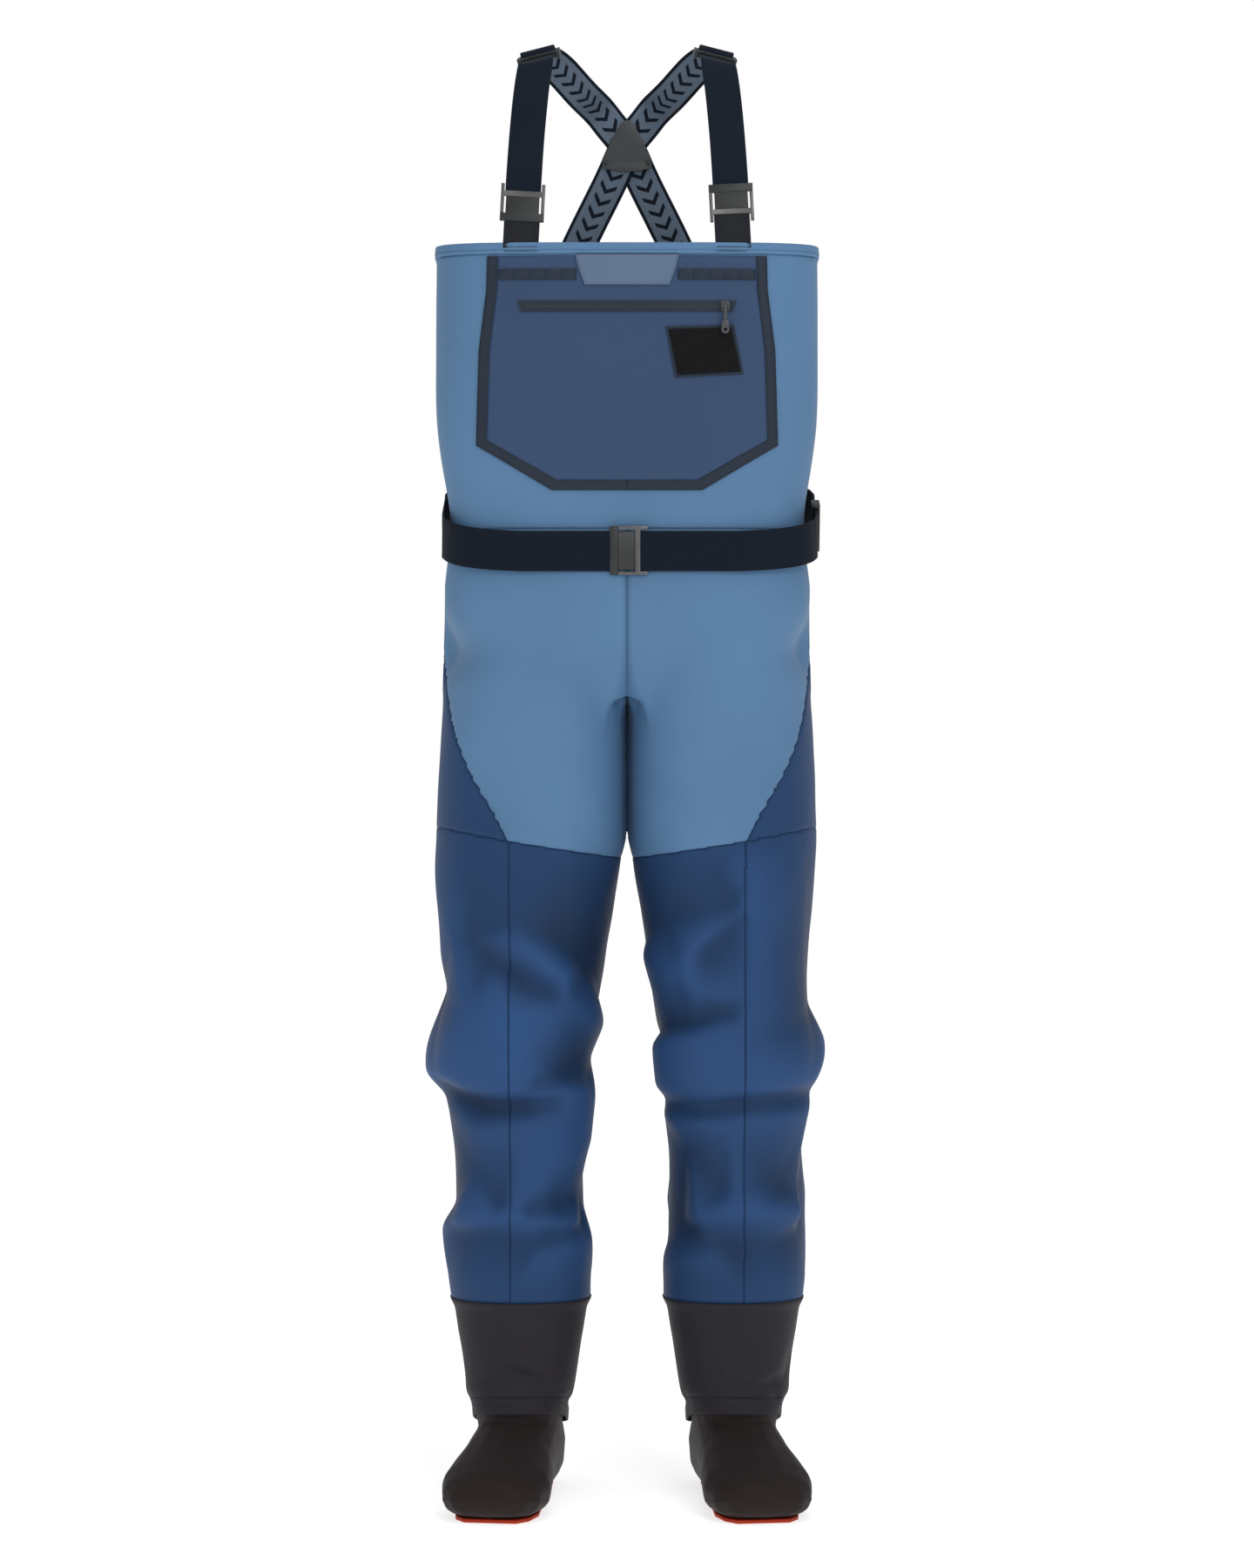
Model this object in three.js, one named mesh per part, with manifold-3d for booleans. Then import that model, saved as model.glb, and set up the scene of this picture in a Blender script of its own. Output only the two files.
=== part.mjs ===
// Stockingfoot chest waders: a hollow bib-and-trouser shell sewn from separate panels, neoprene
// gravel guards and booties, a zipped chest pocket, a wading belt and crossed elastic suspenders.
// Units are millimetres. The object is built standing on its soles at height 0, facing -Y, and the
// whole group is then lowered so that the origin is where the straps rest on the shoulders.
import * as THREE from "three";
import { mergeVertices } from "three/addons/utils/BufferGeometryUtils.js";
import Module from "manifold-3d";

const wasm = await Module();
wasm.setup();

// ---------------------------------------------------------------- driving dimensions
const GAP = 0.3; // clearance between pieces that are sewn, glued or clipped together

const SHOULDER_HEIGHT = 1563; // soles to the underside of the straps at the shoulder
const BIB_TOP = 1352; // at the side seams
const FRONT_HEM_DROP = 8; // the bib's front edge is this much lower than its sides
const BACK_HEM_DROP = 40;
const WAIST = 1056; // narrowest place, under the belt
const CROTCH = 866;
const KNEE_SEAM = 688; // height of the knee seam at the inside of the leg
const LEG_HEM = 212; // end of the fabric leg and top of the gravel guard

const CHEST_HALF_WIDTH = 208;
const CHEST_HALF_DEPTH = 124;
const WAIST_HALF_WIDTH = 191;
const WAIST_HALF_DEPTH = 113;
const HIP_HALF_WIDTH = 202;
const HIP_HALF_DEPTH = 128;
const FRONT_SQUARENESS = 4.2; // superellipse exponent of the flat bib front
const BACK_SQUARENESS = 2.6;
const LEG_SQUARENESS = 2.2;
const FABRIC_WALL = 3;

const HEM_HEIGHT = 12;
const HEM_STANDOFF = 1; // the hem is thicker than the shell by this much on each side

const ANKLE_X = 116; // distance of each leg's ankle from the middle
const NEOPRENE_WALL = 3.5;
const GUARD_HEM_FRONT = 94; // height of the gravel guard's lower edge over the instep
const GUARD_HEM_BACK = 62;
const GUARD_HEM_HEIGHT = 13;
const BOOTIE_WALL = 4;
const FOOT_LENGTH = 286;
const FOOT_HALF_WIDTH = 56;
const TOE_OUT = THREE.MathUtils.degToRad(8);
const SOLE_THICKNESS = 4;
const SOLE_INSET = 8;

const WEBBING_WIDTH = 38;
const WEBBING_THICKNESS = 2;
const STRAP_FOOT_X = 113; // where a front strap leaves the bib
const BACK_ANCHOR_X = 76; // where a back strap is sewn to the back hem
const SHOULDER_X = 95; // middle of a strap on the shoulder
const YOKE_DROP = 79; // shoulder to the crossing of the back straps

const BELT_WIDTH = 43;
const BELT_THICKNESS = 2.6;
const BELT_HEIGHT = 1057; // at the sides
const BELT_SLOPE = 0.328; // the belt hangs lower in front: rise per millimetre of depth
const BELT_SHIFT = 3; // the belt's bulk sits towards the wearer's left, where its slider is

const POCKET_HALF_WIDTH = 160; // at the lower corners, over the tape
const POCKET_HEIGHT = 248;
const POCKET_TAPE = 11;
const POCKET_CLOTH = 1.5;
const ZIP_LENGTH = 232;
const ZIP_DROP = 68; // bib's front edge to the middle of the zip
const ZIP_TAPE_WIDTH = 12;

// ---------------------------------------------------------------- solids
const FAR = 2000; // larger than the object, for cutting solids

// A closed three.js geometry as a solid that can be joined and cut.
function solidOf(geometry) {
  const bare = (geometry.index ? geometry.toNonIndexed() : geometry.clone())
    .deleteAttribute("normal")
    .deleteAttribute("uv");
  const merged = mergeVertices(bare, 1e-4);
  return new wasm.Manifold(
    new wasm.Mesh({
      numProp: 3,
      vertProperties: merged.attributes.position.array,
      triVerts: new Uint32Array(merged.index.array),
    }),
  );
}

function geometryOf(solid) {
  const { vertProperties, triVerts, numProp, numVert } = solid.getMesh();
  const positions = new Float32Array(numVert * 3);
  for (let i = 0; i < numVert; i++) {
    positions.set(vertProperties.subarray(i * numProp, i * numProp + 3), i * 3);
  }
  return new THREE.BufferGeometry()
    .setAttribute("position", new THREE.BufferAttribute(positions, 3))
    .setIndex(new THREE.BufferAttribute(new Uint32Array(triVerts), 1));
}

const union = (solids) => solids.reduce((made, solid) => made.add(solid));

// A box between two corners; xs, ys and zs each give its two ends.
function block(xs, ys, zs) {
  const box = new THREE.BoxGeometry(xs[1] - xs[0], ys[1] - ys[0], zs[1] - zs[0]);
  box.translate((xs[0] + xs[1]) / 2, (ys[0] + ys[1]) / 2, (zs[0] + zs[1]) / 2);
  return solidOf(box);
}

const ALL = [-FAR, FAR];

// A closed skin through rings of equally many points, each anticlockwise seen from the last ring.
function loft(rings) {
  const count = rings[0].length;
  const vertices = rings.flat();
  const middle = (points) =>
    points.reduce((sum, p) => sum.add(p), new THREE.Vector3()).divideScalar(count);
  const first = vertices.push(middle(rings[0])) - 1;
  const last = vertices.push(middle(rings[rings.length - 1])) - 1;
  const top = (rings.length - 1) * count;
  const faces = [];
  for (let i = 0; i < count; i++) {
    const j = (i + 1) % count;
    for (let a = 0; a < top; a += count) {
      const b = a + count;
      faces.push(a + i, a + j, b + j, a + i, b + j, b + i);
    }
    faces.push(first, j, i, last, top + i, top + j);
  }
  const flat = new Float32Array(vertices.flatMap((p) => [p.x, p.y, p.z]));
  const geometry = new THREE.BufferGeometry()
    .setAttribute("position", new THREE.BufferAttribute(flat, 3))
    .setIndex(faces);
  return solidOf(geometry);
}

const shapeOf = (outline) => new THREE.Shape(outline.map(([u, v]) => new THREE.Vector2(u, v)));

function extrude(shape, depth, curveSegments = 6) {
  return new THREE.ExtrudeGeometry(shape, { depth, bevelEnabled: false, curveSegments });
}

// A front-view outline of [x, height] points, or a shape, pushed from one depth to another.
function frontPrism(outline, [near, far]) {
  const shape = Array.isArray(outline) ? shapeOf(outline) : outline;
  const prism = extrude(shape, far - near);
  prism.rotateX(Math.PI / 2);
  prism.translate(0, far, 0);
  return solidOf(prism);
}

// A side-view outline of [y, height] points, pushed across from one x to another.
function sidePrism(outline, [left, right]) {
  const prism = extrude(shapeOf(outline), right - left);
  const turn = new THREE.Matrix4().set(0, 0, 1, left, 1, 0, 0, 0, 0, 1, 0, 0, 0, 0, 0, 1);
  prism.applyMatrix4(turn);
  return solidOf(prism);
}

function pin(radius, middle, length, axis = "x", sides = 16) {
  const rod = new THREE.CylinderGeometry(radius, radius, length, sides);
  if (axis === "x") rod.rotateZ(Math.PI / 2);
  rod.translate(middle.x, middle.y, middle.z);
  return solidOf(rod);
}

// ---------------------------------------------------------------- body shape
// Straight-line interpolation of a table of { h, ...values } rows, ordered from low to high.
function readTable(table, h) {
  const found = table.findIndex((row) => row.h >= h);
  const upper = found < 0 ? table.length - 1 : Math.max(1, found);
  const low = table[upper - 1];
  const high = table[upper];
  const t = THREE.MathUtils.clamp((h - low.h) / (high.h - low.h), 0, 1);
  const values = Object.keys(low).map((key) => [key, THREE.MathUtils.lerp(low[key], high[key], t)]);
  return { ...Object.fromEntries(values), h };
}

const UP = new THREE.Vector3(0, 0, 1);

// A superellipse at one height, squarer in front than behind, turned about the middle of its x.
function ring({ h, x = 0, y = 0, a, b, turn = 0 }, [front, back], grow, points) {
  return Array.from({ length: points }, (_, i) => {
    const angle = (2 * Math.PI * i) / points;
    const c = Math.cos(angle);
    const s = Math.sin(angle);
    const power = 2 / (s < 0 ? front : back);
    const across = (a + grow) * Math.sign(c) * Math.abs(c) ** power;
    const along = y + (b + grow) * Math.sign(s) * Math.abs(s) ** power;
    return new THREE.Vector3(across, along, h).applyAxisAngle(UP, turn).add(new THREE.Vector3(x, 0, 0));
  });
}

// A tube through a table's rows between two heights, grown or shrunk all round.
function tableLoft(table, squareness, points, [from, to], grow) {
  const between = table.map((row) => row.h).filter((h) => h > from && h < to);
  const heights = [from, ...between, to];
  return loft(heights.map((h) => ring(readTable(table, h), squareness, grow, points)));
}

// The body from the crotch to the top of the bib: half width a, half depth b, middle y.
const TORSO = [
  { h: CROTCH - 8, a: 120, b: 45, y: 5 },
  { h: CROTCH + 25, a: 168, b: 97, y: 5 },
  { h: CROTCH + 65, a: HIP_HALF_WIDTH - 2, b: HIP_HALF_DEPTH - 7, y: 4 },
  { h: WAIST - 90, a: HIP_HALF_WIDTH - 1, b: HIP_HALF_DEPTH - 5, y: 3 },
  { h: WAIST - 55, a: WAIST_HALF_WIDTH + 6, b: WAIST_HALF_DEPTH + 5, y: 1 },
  { h: WAIST - 28, a: WAIST_HALF_WIDTH + 1, b: WAIST_HALF_DEPTH + 1, y: 0 },
  { h: WAIST, a: WAIST_HALF_WIDTH, b: WAIST_HALF_DEPTH, y: 0 },
  { h: WAIST + 30, a: WAIST_HALF_WIDTH + 4, b: WAIST_HALF_DEPTH + 2, y: 0 },
  { h: WAIST + 60, a: CHEST_HALF_WIDTH - 6, b: CHEST_HALF_DEPTH - 6, y: 0 },
  { h: WAIST + 110, a: CHEST_HALF_WIDTH, b: CHEST_HALF_DEPTH - 1, y: 0 },
  { h: BIB_TOP, a: CHEST_HALF_WIDTH - 1, b: CHEST_HALF_DEPTH, y: 0 },
];
const TORSO_SQUARENESS = [FRONT_SQUARENESS, BACK_SQUARENESS];
const torso = (span, grow) => tableLoft(TORSO, TORSO_SQUARENESS, 32, span, grow);

// The leg on +X: middle x and y, half width a, half depth b.
const THIGH_X = HIP_HALF_WIDTH / 2 + 2.5;
const LEG = [
  { h: LEG_HEM, x: ANKLE_X, a: 77, b: 78, y: 8 },
  { h: LEG_HEM + 47, x: ANKLE_X + 2, a: 80, b: 82, y: 8 },
  { h: LEG_HEM + 160, x: ANKLE_X + 3, a: 78, b: 84, y: 2 },
  { h: KNEE_SEAM - 205, x: ANKLE_X + 5, a: 91, b: 95, y: -12 },
  { h: KNEE_SEAM - 115, x: ANKLE_X - 5, a: 94, b: 98, y: -8 },
  { h: KNEE_SEAM, x: THIGH_X + 3, a: THIGH_X - 1, b: 107, y: 0 },
  { h: CROTCH - 60, x: THIGH_X, a: THIGH_X - 2, b: HIP_HALF_DEPTH - 11, y: 4 },
  { h: CROTCH + 30, x: THIGH_X - 4, a: THIGH_X - 4, b: HIP_HALF_DEPTH - 8, y: 5 },
  { h: CROTCH + 110, x: THIGH_X - 10, a: THIGH_X - 12, b: WAIST_HALF_DEPTH - 4, y: 2 },
];
const ROUND = [LEG_SQUARENESS, LEG_SQUARENESS];
const leg = (span, grow) => tableLoft(LEG, ROUND, 24, span, grow);

// Depth of the bib's flat front and of its rounder back, x millimetres from the middle.
function bibFace(x, h, side) {
  const { a, b, y } = readTable(TORSO, h);
  const exponent = side < 0 ? FRONT_SQUARENESS : BACK_SQUARENESS;
  return y + side * b * (1 - (Math.abs(x) / a) ** exponent) ** (1 / exponent);
}

// Cloth laid on the bib: what an outline covers, between two distances off the surface.
function clothOn(side, outline, [inner, outer]) {
  const span = [WAIST - 60, BIB_TOP];
  return frontPrism(outline, side < 0 ? [-FAR, 0] : [0, FAR])
    .intersect(torso(span, outer))
    .subtract(torso([span[0] - 1, span[1] + 1], inner));
}

// ---------------------------------------------------------------- bib
const SEAM = GAP / 2;
const WAIST_SEAM = WAIST - 15;
const FRONT_TOP = BIB_TOP - FRONT_HEM_DROP;
const BACK_TOP = BIB_TOP - BACK_HEM_DROP;

// Everything under the bib's top edge, which falls from the side seams to front and back.
function underTopEdge(drop) {
  const side = BIB_TOP - drop;
  const front = side - FRONT_HEM_DROP * (FAR / CHEST_HALF_DEPTH);
  const back = side - BACK_HEM_DROP * (FAR / CHEST_HALF_DEPTH);
  return sidePrism([[-FAR, front], [-FAR, -2 * FAR], [FAR, -2 * FAR], [FAR, back], [0, side]], ALL);
}

const frontHalf = block(ALL, [-FAR, -SEAM], ALL);
const backHalf = block(ALL, [SEAM, FAR], ALL);

function bibCloth() {
  const lower = WAIST_SEAM + SEAM;
  return torso([lower, BIB_TOP], 0)
    .subtract(torso([lower - 1, BIB_TOP + 1], -FABRIC_WALL))
    .intersect(underTopEdge(HEM_HEIGHT + GAP));
}

function topHem() {
  const lower = BIB_TOP - BACK_HEM_DROP - 40;
  return torso([lower, BIB_TOP], HEM_STANDOFF)
    .subtract(torso([lower - 1, BIB_TOP + 1], -FABRIC_WALL - HEM_STANDOFF))
    .intersect(underTopEdge(0))
    .subtract(underTopEdge(HEM_HEIGHT));
}

// ---------------------------------------------------------------- trousers
// Seam lines of the leg on +X in front view: the knee seam, and the side panel's curved edge.
const SIDE_SEAM_X = 127; // where the two lines meet
const SIDE_SEAM_HEIGHT = KNEE_SEAM + 20;
const KNEE_LINE = [[0, KNEE_SEAM], [SIDE_SEAM_X, SIDE_SEAM_HEIGHT], [260, KNEE_SEAM + 45]];
const SIDE_CURVE = [
  [SIDE_SEAM_X, SIDE_SEAM_HEIGHT],
  [148, KNEE_SEAM + 58],
  [168, KNEE_SEAM + 92],
  [185, KNEE_SEAM + 134],
  [194, KNEE_SEAM + 176],
  [200, KNEE_SEAM + 220],
];

function aboveKnee(gap) {
  const line = KNEE_LINE.map(([x, h]) => [x, h + gap]);
  return frontPrism([...line, [FAR, FAR], [0, FAR]], ALL);
}

function besideThigh(gap) {
  const curve = SIDE_CURVE.map(([x, h]) => [x + gap, h]);
  const top = SIDE_CURVE[SIDE_CURVE.length - 1][1];
  const low = KNEE_SEAM - 100;
  return frontPrism([[SIDE_SEAM_X + gap, low], [FAR, low], [FAR, top], ...curve.reverse()], ALL);
}

// The +X half of the shell from the waist seam to the ankles.
function trouserHalf() {
  const bodySpan = [CROTCH - 8, WAIST_SEAM - SEAM];
  const legSpan = [LEG_HEM, CROTCH + 110];
  return torso(bodySpan, 0)
    .add(leg(legSpan, 0))
    .subtract(torso([bodySpan[0] + FABRIC_WALL, bodySpan[1] + 1], -FABRIC_WALL))
    .subtract(leg([legSpan[0] - 1, legSpan[1]], -FABRIC_WALL))
    .intersect(block([SEAM, FAR], ALL, ALL));
}

function trouserPanels() {
  const half = trouserHalf();
  const upper = half.intersect(aboveKnee(SEAM));
  const lower = half.subtract(aboveKnee(-SEAM));
  const middle = upper.subtract(besideThigh(-SEAM));
  const legSeam = ANKLE_X + 10; // the lower leg's seams run down its front and back
  return {
    thigh_front: middle.intersect(frontHalf),
    seat: middle.intersect(backHalf),
    side_panel: upper.intersect(besideThigh(SEAM)),
    inner_shin: lower.intersect(block([-FAR, legSeam - SEAM], ALL, ALL)),
    outer_shin: lower.intersect(block([legSeam + SEAM, FAR], ALL, ALL)),
  };
}

// ---------------------------------------------------------------- guards and booties
// The gravel guard's outside, on +X: it narrows to the ankle and widens again over the heel, where
// it turns out with the foot.
const GUARD_TOP = LEG_HEM - GAP;
const GUARD_LIP = LEG_HEM - 11; // under the flared upper edge
const GUARD = [
  { h: 55, x: ANKLE_X, a: 54, b: 84, y: 1, turn: TOE_OUT },
  { h: 96, x: ANKLE_X, a: 53, b: 79, y: -2, turn: TOE_OUT },
  { h: 128, x: ANKLE_X, a: 60, b: 72, y: 4, turn: 0 },
  { h: LEG_HEM - 38, x: ANKLE_X, a: 69, b: 74, y: 7, turn: 0 },
  { h: GUARD_LIP, x: ANKLE_X, a: 73, b: 75.5, y: 8, turn: 0 },
  { h: LEG_HEM, x: ANKLE_X, a: 77.5, b: 79, y: 8, turn: 0 },
];
const sleeve = (table, span, grow) => tableLoft(table, ROUND, 20, span, grow);

// Everything above the guard's lower edge, which is high over the instep and low behind the heel.
function aboveGuardHem(rise) {
  const reach = 100;
  const front = GUARD_HEM_FRONT + rise;
  const back = GUARD_HEM_BACK + rise;
  return sidePrism([[-reach, front], [reach, back], [reach, FAR], [-reach, FAR]], ALL);
}

function guardTube(outer, inner) {
  return sleeve(GUARD, [55, GUARD_TOP], outer).subtract(sleeve(GUARD, [54, LEG_HEM + 1], inner));
}

const gravelGuard = () => guardTube(0, -NEOPRENE_WALL).intersect(aboveGuardHem(GUARD_HEM_HEIGHT + SEAM));

const guardHem = () =>
  guardTube(0.8, -NEOPRENE_WALL)
    .intersect(aboveGuardHem(0))
    .subtract(aboveGuardHem(GUARD_HEM_HEIGHT - SEAM));

// Sections of a foot whose toe points along -Y, from heel to toe: distance v in front of the ankle,
// half width w, underside and top.
const HEEL_V = -76;
const TOE_V = HEEL_V + FOOT_LENGTH;
const FOOT = [
  { v: HEEL_V, w: 17, low: 26, high: 52 },
  { v: HEEL_V + 8, w: 31, low: 10, high: 78 },
  { v: HEEL_V + 30, w: 40, low: 0, high: 92 },
  { v: -10, w: 42, low: 0, high: 98 },
  { v: 35, w: 44, low: 0, high: 94 },
  { v: TOE_V - 130, w: FOOT_HALF_WIDTH - 9, low: 0, high: 78 },
  { v: TOE_V - 90, w: FOOT_HALF_WIDTH - 3, low: 0, high: 65 },
  { v: TOE_V - 54, w: FOOT_HALF_WIDTH, low: 0, high: 55 },
  { v: TOE_V - 24, w: FOOT_HALF_WIDTH - 6, low: 2, high: 46 },
  { v: TOE_V - 7, w: FOOT_HALF_WIDTH - 18, low: 7, high: 37 },
  { v: TOE_V, w: FOOT_HALF_WIDTH - 36, low: 14, high: 28 },
];

// Turns a point of the straight foot out by the toe angle and moves it to its leg.
function toFoot(point) {
  return point.applyAxisAngle(UP, TOE_OUT).add(new THREE.Vector3(ANKLE_X, 0, 0));
}

// A section standing across the foot, flatter below than on top.
function footSection({ v, w, low, high }, wall) {
  const middle = SOLE_THICKNESS + GAP + (low + high) / 2;
  const rise = (high - low) / 2 - wall;
  const points = 16;
  return Array.from({ length: points }, (_, i) => {
    const angle = (2 * Math.PI * i) / points;
    const c = Math.cos(angle);
    const s = Math.sin(angle);
    const power = s < 0 ? 0.6 : 0.95;
    const x = (w - wall) * Math.sign(c) * Math.abs(c) ** power;
    const z = middle + rise * Math.sign(s) * Math.abs(s) ** power;
    return toFoot(new THREE.Vector3(x, -v, z));
  });
}

function foot(wall) {
  const inset = (v) => THREE.MathUtils.clamp(v, HEEL_V + wall, TOE_V - wall);
  return loft(FOOT.map((row) => footSection({ ...row, v: inset(row.v) }, wall)));
}

// The sock: a closed foot with a shaft that runs up under the guard and is glued inside the leg.
const SHAFT_TOP = LEG_HEM + 15;
const SHAFT_INSET = NEOPRENE_WALL + GAP;
const SHAFT_FOOT = 50; // the shaft's tube starts inside the foot
const ANKLE_SEAM = 106;
const SHAFT = [
  { h: SHAFT_FOOT, x: ANKLE_X, a: 36, b: 58, y: 0, turn: TOE_OUT },
  ...GUARD.slice(1, -1).map((row) => ({ ...row, a: row.a - SHAFT_INSET, b: row.b - SHAFT_INSET })),
  { h: SHAFT_TOP, x: ANKLE_X, a: 73 - SHAFT_INSET, b: 74 - SHAFT_INSET, y: 8, turn: 0 },
];

// The sock in its two sewn parts, with an ankle seam above the instep.
function bootie() {
  const rim = { ...SHAFT[SHAFT.length - 1], h: SHAFT_TOP + 5 };
  const mouth = sleeve([...SHAFT, rim], [SHAFT_TOP - 1, rim.h], -BOOTIE_WALL);
  const outer = sleeve(SHAFT, [SHAFT_FOOT, SHAFT_TOP], 0).add(foot(0));
  const inner = sleeve(SHAFT, [SHAFT_FOOT + 1, SHAFT_TOP], -BOOTIE_WALL).add(foot(BOOTIE_WALL));
  const sock = outer.subtract(inner).subtract(mouth);
  return {
    shaft: sock.intersect(block(ALL, ALL, [ANKLE_SEAM + SEAM, FAR])),
    foot: sock.intersect(block(ALL, ALL, [-FAR, ANKLE_SEAM - SEAM])),
  };
}

// The outsole follows the foot's outline from above, set in from its rounded sides.
function sole() {
  const ends = [HEEL_V + SOLE_INSET, TOE_V - SOLE_INSET];
  const side = FOOT.map(({ v, w }) => [w - SOLE_INSET, -THREE.MathUtils.clamp(v, ...ends)]);
  const outline = [...side, ...side.map(([x, y]) => [-x, y]).reverse()];
  const plate = extrude(shapeOf(outline), SOLE_THICKNESS);
  plate.rotateZ(TOE_OUT);
  plate.translate(ANKLE_X, 0, 0);
  return solidOf(plate);
}

// ---------------------------------------------------------------- webbing
// The direction across a strap that runs along a given way; bank is how far its +x edge dips.
function acrossStrap(along, bank) {
  const across = new THREE.Vector3(Math.cos(bank), 0, -Math.sin(bank));
  return across.addScaledVector(along, -across.dot(along)).normalize();
}

// A flat strap along a route of { p, bank } stops, banks in degrees.
function ribbon(stops, steps) {
  const curve = new THREE.CatmullRomCurve3(stops.map(({ p }) => p), false, "centripetal");
  const rings = Array.from({ length: steps + 1 }, (_, i) => {
    const t = i / steps;
    const place = t * (stops.length - 1);
    const k = Math.min(stops.length - 2, Math.floor(place));
    const degrees = THREE.MathUtils.lerp(stops[k].bank, stops[k + 1].bank, place - k);
    const along = curve.getTangent(t);
    const across = acrossStrap(along, THREE.MathUtils.degToRad(degrees));
    const out = new THREE.Vector3().crossVectors(across, along);
    return [[-1, -1], [1, -1], [1, 1], [-1, 1]].map(([w, n]) =>
      curve
        .getPoint(t)
        .addScaledVector(across, (w * WEBBING_WIDTH) / 2)
        .addScaledVector(out, (-n * WEBBING_THICKNESS) / 2),
    );
  });
  return loft(rings);
}

// Where hardware sits on a strap: its x is across the strap, y along it and z out of its face.
function strapFrame(origin, along, bank) {
  const across = acrossStrap(along, bank);
  const out = new THREE.Vector3().crossVectors(across, along);
  return new THREE.Matrix4().makeBasis(across, along, out).setPosition(origin);
}

// ---------------------------------------------------------------- buckles
const ARM = 3.6; // width of a frame's side arm
const ARM_CLEARANCE = 0.8; // strap's edge to an arm
const PLATE_CLEARANCE = 2; // slit between the tongue's plate and an arm
const BUCKLE_THICKNESS = 4.4;
const PLATE_THICKNESS = 2.6;
const TONGUE_BAR = 8.5;
const PLATE_LENGTH = 18;
const CATCH_BAR = 5.5;
const ARM_TAIL = 8; // the arms run on past the catch bar, beside the strap
const BUCKLE_LENGTH = ARM_TAIL + CATCH_BAR + GAP + PLATE_LENGTH + TONGUE_BAR;
const BUCKLE_DEPTH = [-BUCKLE_THICKNESS / 2, BUCKLE_THICKNESS / 2];

// One half of a clip buckle, from y = 0 at the other half's tails to BUCKLE_LENGTH at its bar: a bar
// on the end of a strap, with a flat plate that slides in between the frame's arms.
function tongue(webbing) {
  const half = webbing / 2 + ARM_CLEARANCE + ARM;
  const plate = webbing / 2 + ARM_CLEARANCE - PLATE_CLEARANCE;
  const plateEnd = BUCKLE_LENGTH - TONGUE_BAR - PLATE_LENGTH;
  return union([
    block([-half, half], [BUCKLE_LENGTH - TONGUE_BAR, BUCKLE_LENGTH], BUCKLE_DEPTH),
    block([-plate, plate], [plateEnd, BUCKLE_LENGTH - 4], [-PLATE_THICKNESS / 2, PLATE_THICKNESS / 2]),
  ]);
}

function buckleFrame(webbing) {
  const inner = webbing / 2 + ARM_CLEARANCE;
  const outer = inner + ARM;
  const arms = [0, BUCKLE_LENGTH - TONGUE_BAR - GAP];
  return union([
    block([-outer, -inner], arms, BUCKLE_DEPTH),
    block([inner, outer], arms, BUCKLE_DEPTH),
    block([-outer, outer], [ARM_TAIL, ARM_TAIL + CATCH_BAR], BUCKLE_DEPTH),
  ]);
}

// A slider threaded on a strap: its end bars lie on the strap's face and its middle bar behind it.
const SLIDER_LENGTH = 25;
const SLIDER_BAR = 4.5;
const SLIDER_RUN = 0.7; // running clearance to the strap's faces
const SLIDER_DEPTH = 2.6;

function slider(webbing, thickness) {
  const inner = webbing / 2 + ARM_CLEARANCE;
  const outer = inner + ARM;
  const face = thickness / 2 + SLIDER_RUN;
  const deep = face + SLIDER_DEPTH;
  const end = SLIDER_LENGTH / 2;
  return union([
    block([-outer, -inner], [-end, end], [-deep, deep]),
    block([inner, outer], [-end, end], [-deep, deep]),
    block([-outer, outer], [end - SLIDER_BAR, end], [face, deep]),
    block([-outer, outer], [-end, SLIDER_BAR - end], [face, deep]),
    block([-outer, outer], [-SLIDER_BAR / 2, SLIDER_BAR / 2], [-deep, -face]),
  ]);
}

// The strap's spare end, folded into a hump between a slider's end bars.
function strapFold(webbing, thickness) {
  const foot = thickness / 2 + SLIDER_RUN;
  const half = SLIDER_LENGTH / 2 - SLIDER_BAR - GAP;
  const rise = 8;
  const shape = new THREE.Shape();
  shape.absellipse(0, 0, half, rise, 0, Math.PI, false);
  const hollow = new THREE.Shape();
  hollow.absellipse(0, 0, half - thickness, rise - thickness, 0, Math.PI, false);
  const turn = new THREE.Matrix4().set(0, 0, 1, -webbing / 2, 1, 0, 0, 0, 0, 1, 0, foot, 0, 0, 0, 1);
  const [outer, inner] = [shape, hollow].map((arch) => {
    const prism = extrude(arch, webbing, 10);
    prism.applyMatrix4(turn);
    return prism;
  });
  inner.scale(1.1, 1, 1);
  inner.translate(0, 0, -0.01);
  return solidOf(outer).subtract(solidOf(inner));
}

// ---------------------------------------------------------------- suspenders
// One strap from the bib's front edge over the wearer's left shoulder, across the back and down to
// the other side of the back hem. The shoulder slider runs on its straight stretch.
const BUCKLE_RISE = 23; // bib's front edge to the buckle's lower end
const STRAP_WAY = new THREE.Vector3(-0.05, 0.09, 1).normalize(); // up from the bib
const STRAP_BANK = 3;
const STRAP_FOOT = new THREE.Vector3(STRAP_FOOT_X, 4 - CHEST_HALF_DEPTH, FRONT_TOP);
const SHOULDER_BANK = 15;
const SHOULDER_RUN = 58; // length of the straight stretch
const RUN_LEAD = 8; // the strap holds this way a little past both ends of it
const SHOULDER_WAY = new THREE.Vector3(-0.045, 0.95, 0.28).normalize();
const SHOULDER = new THREE.Vector3(SHOULDER_X, 0, SHOULDER_HEIGHT + WEBBING_THICKNESS / 2);
const STRAP_JOIN_Y = 12; // the plain strap ends and the printed strap begins

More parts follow.
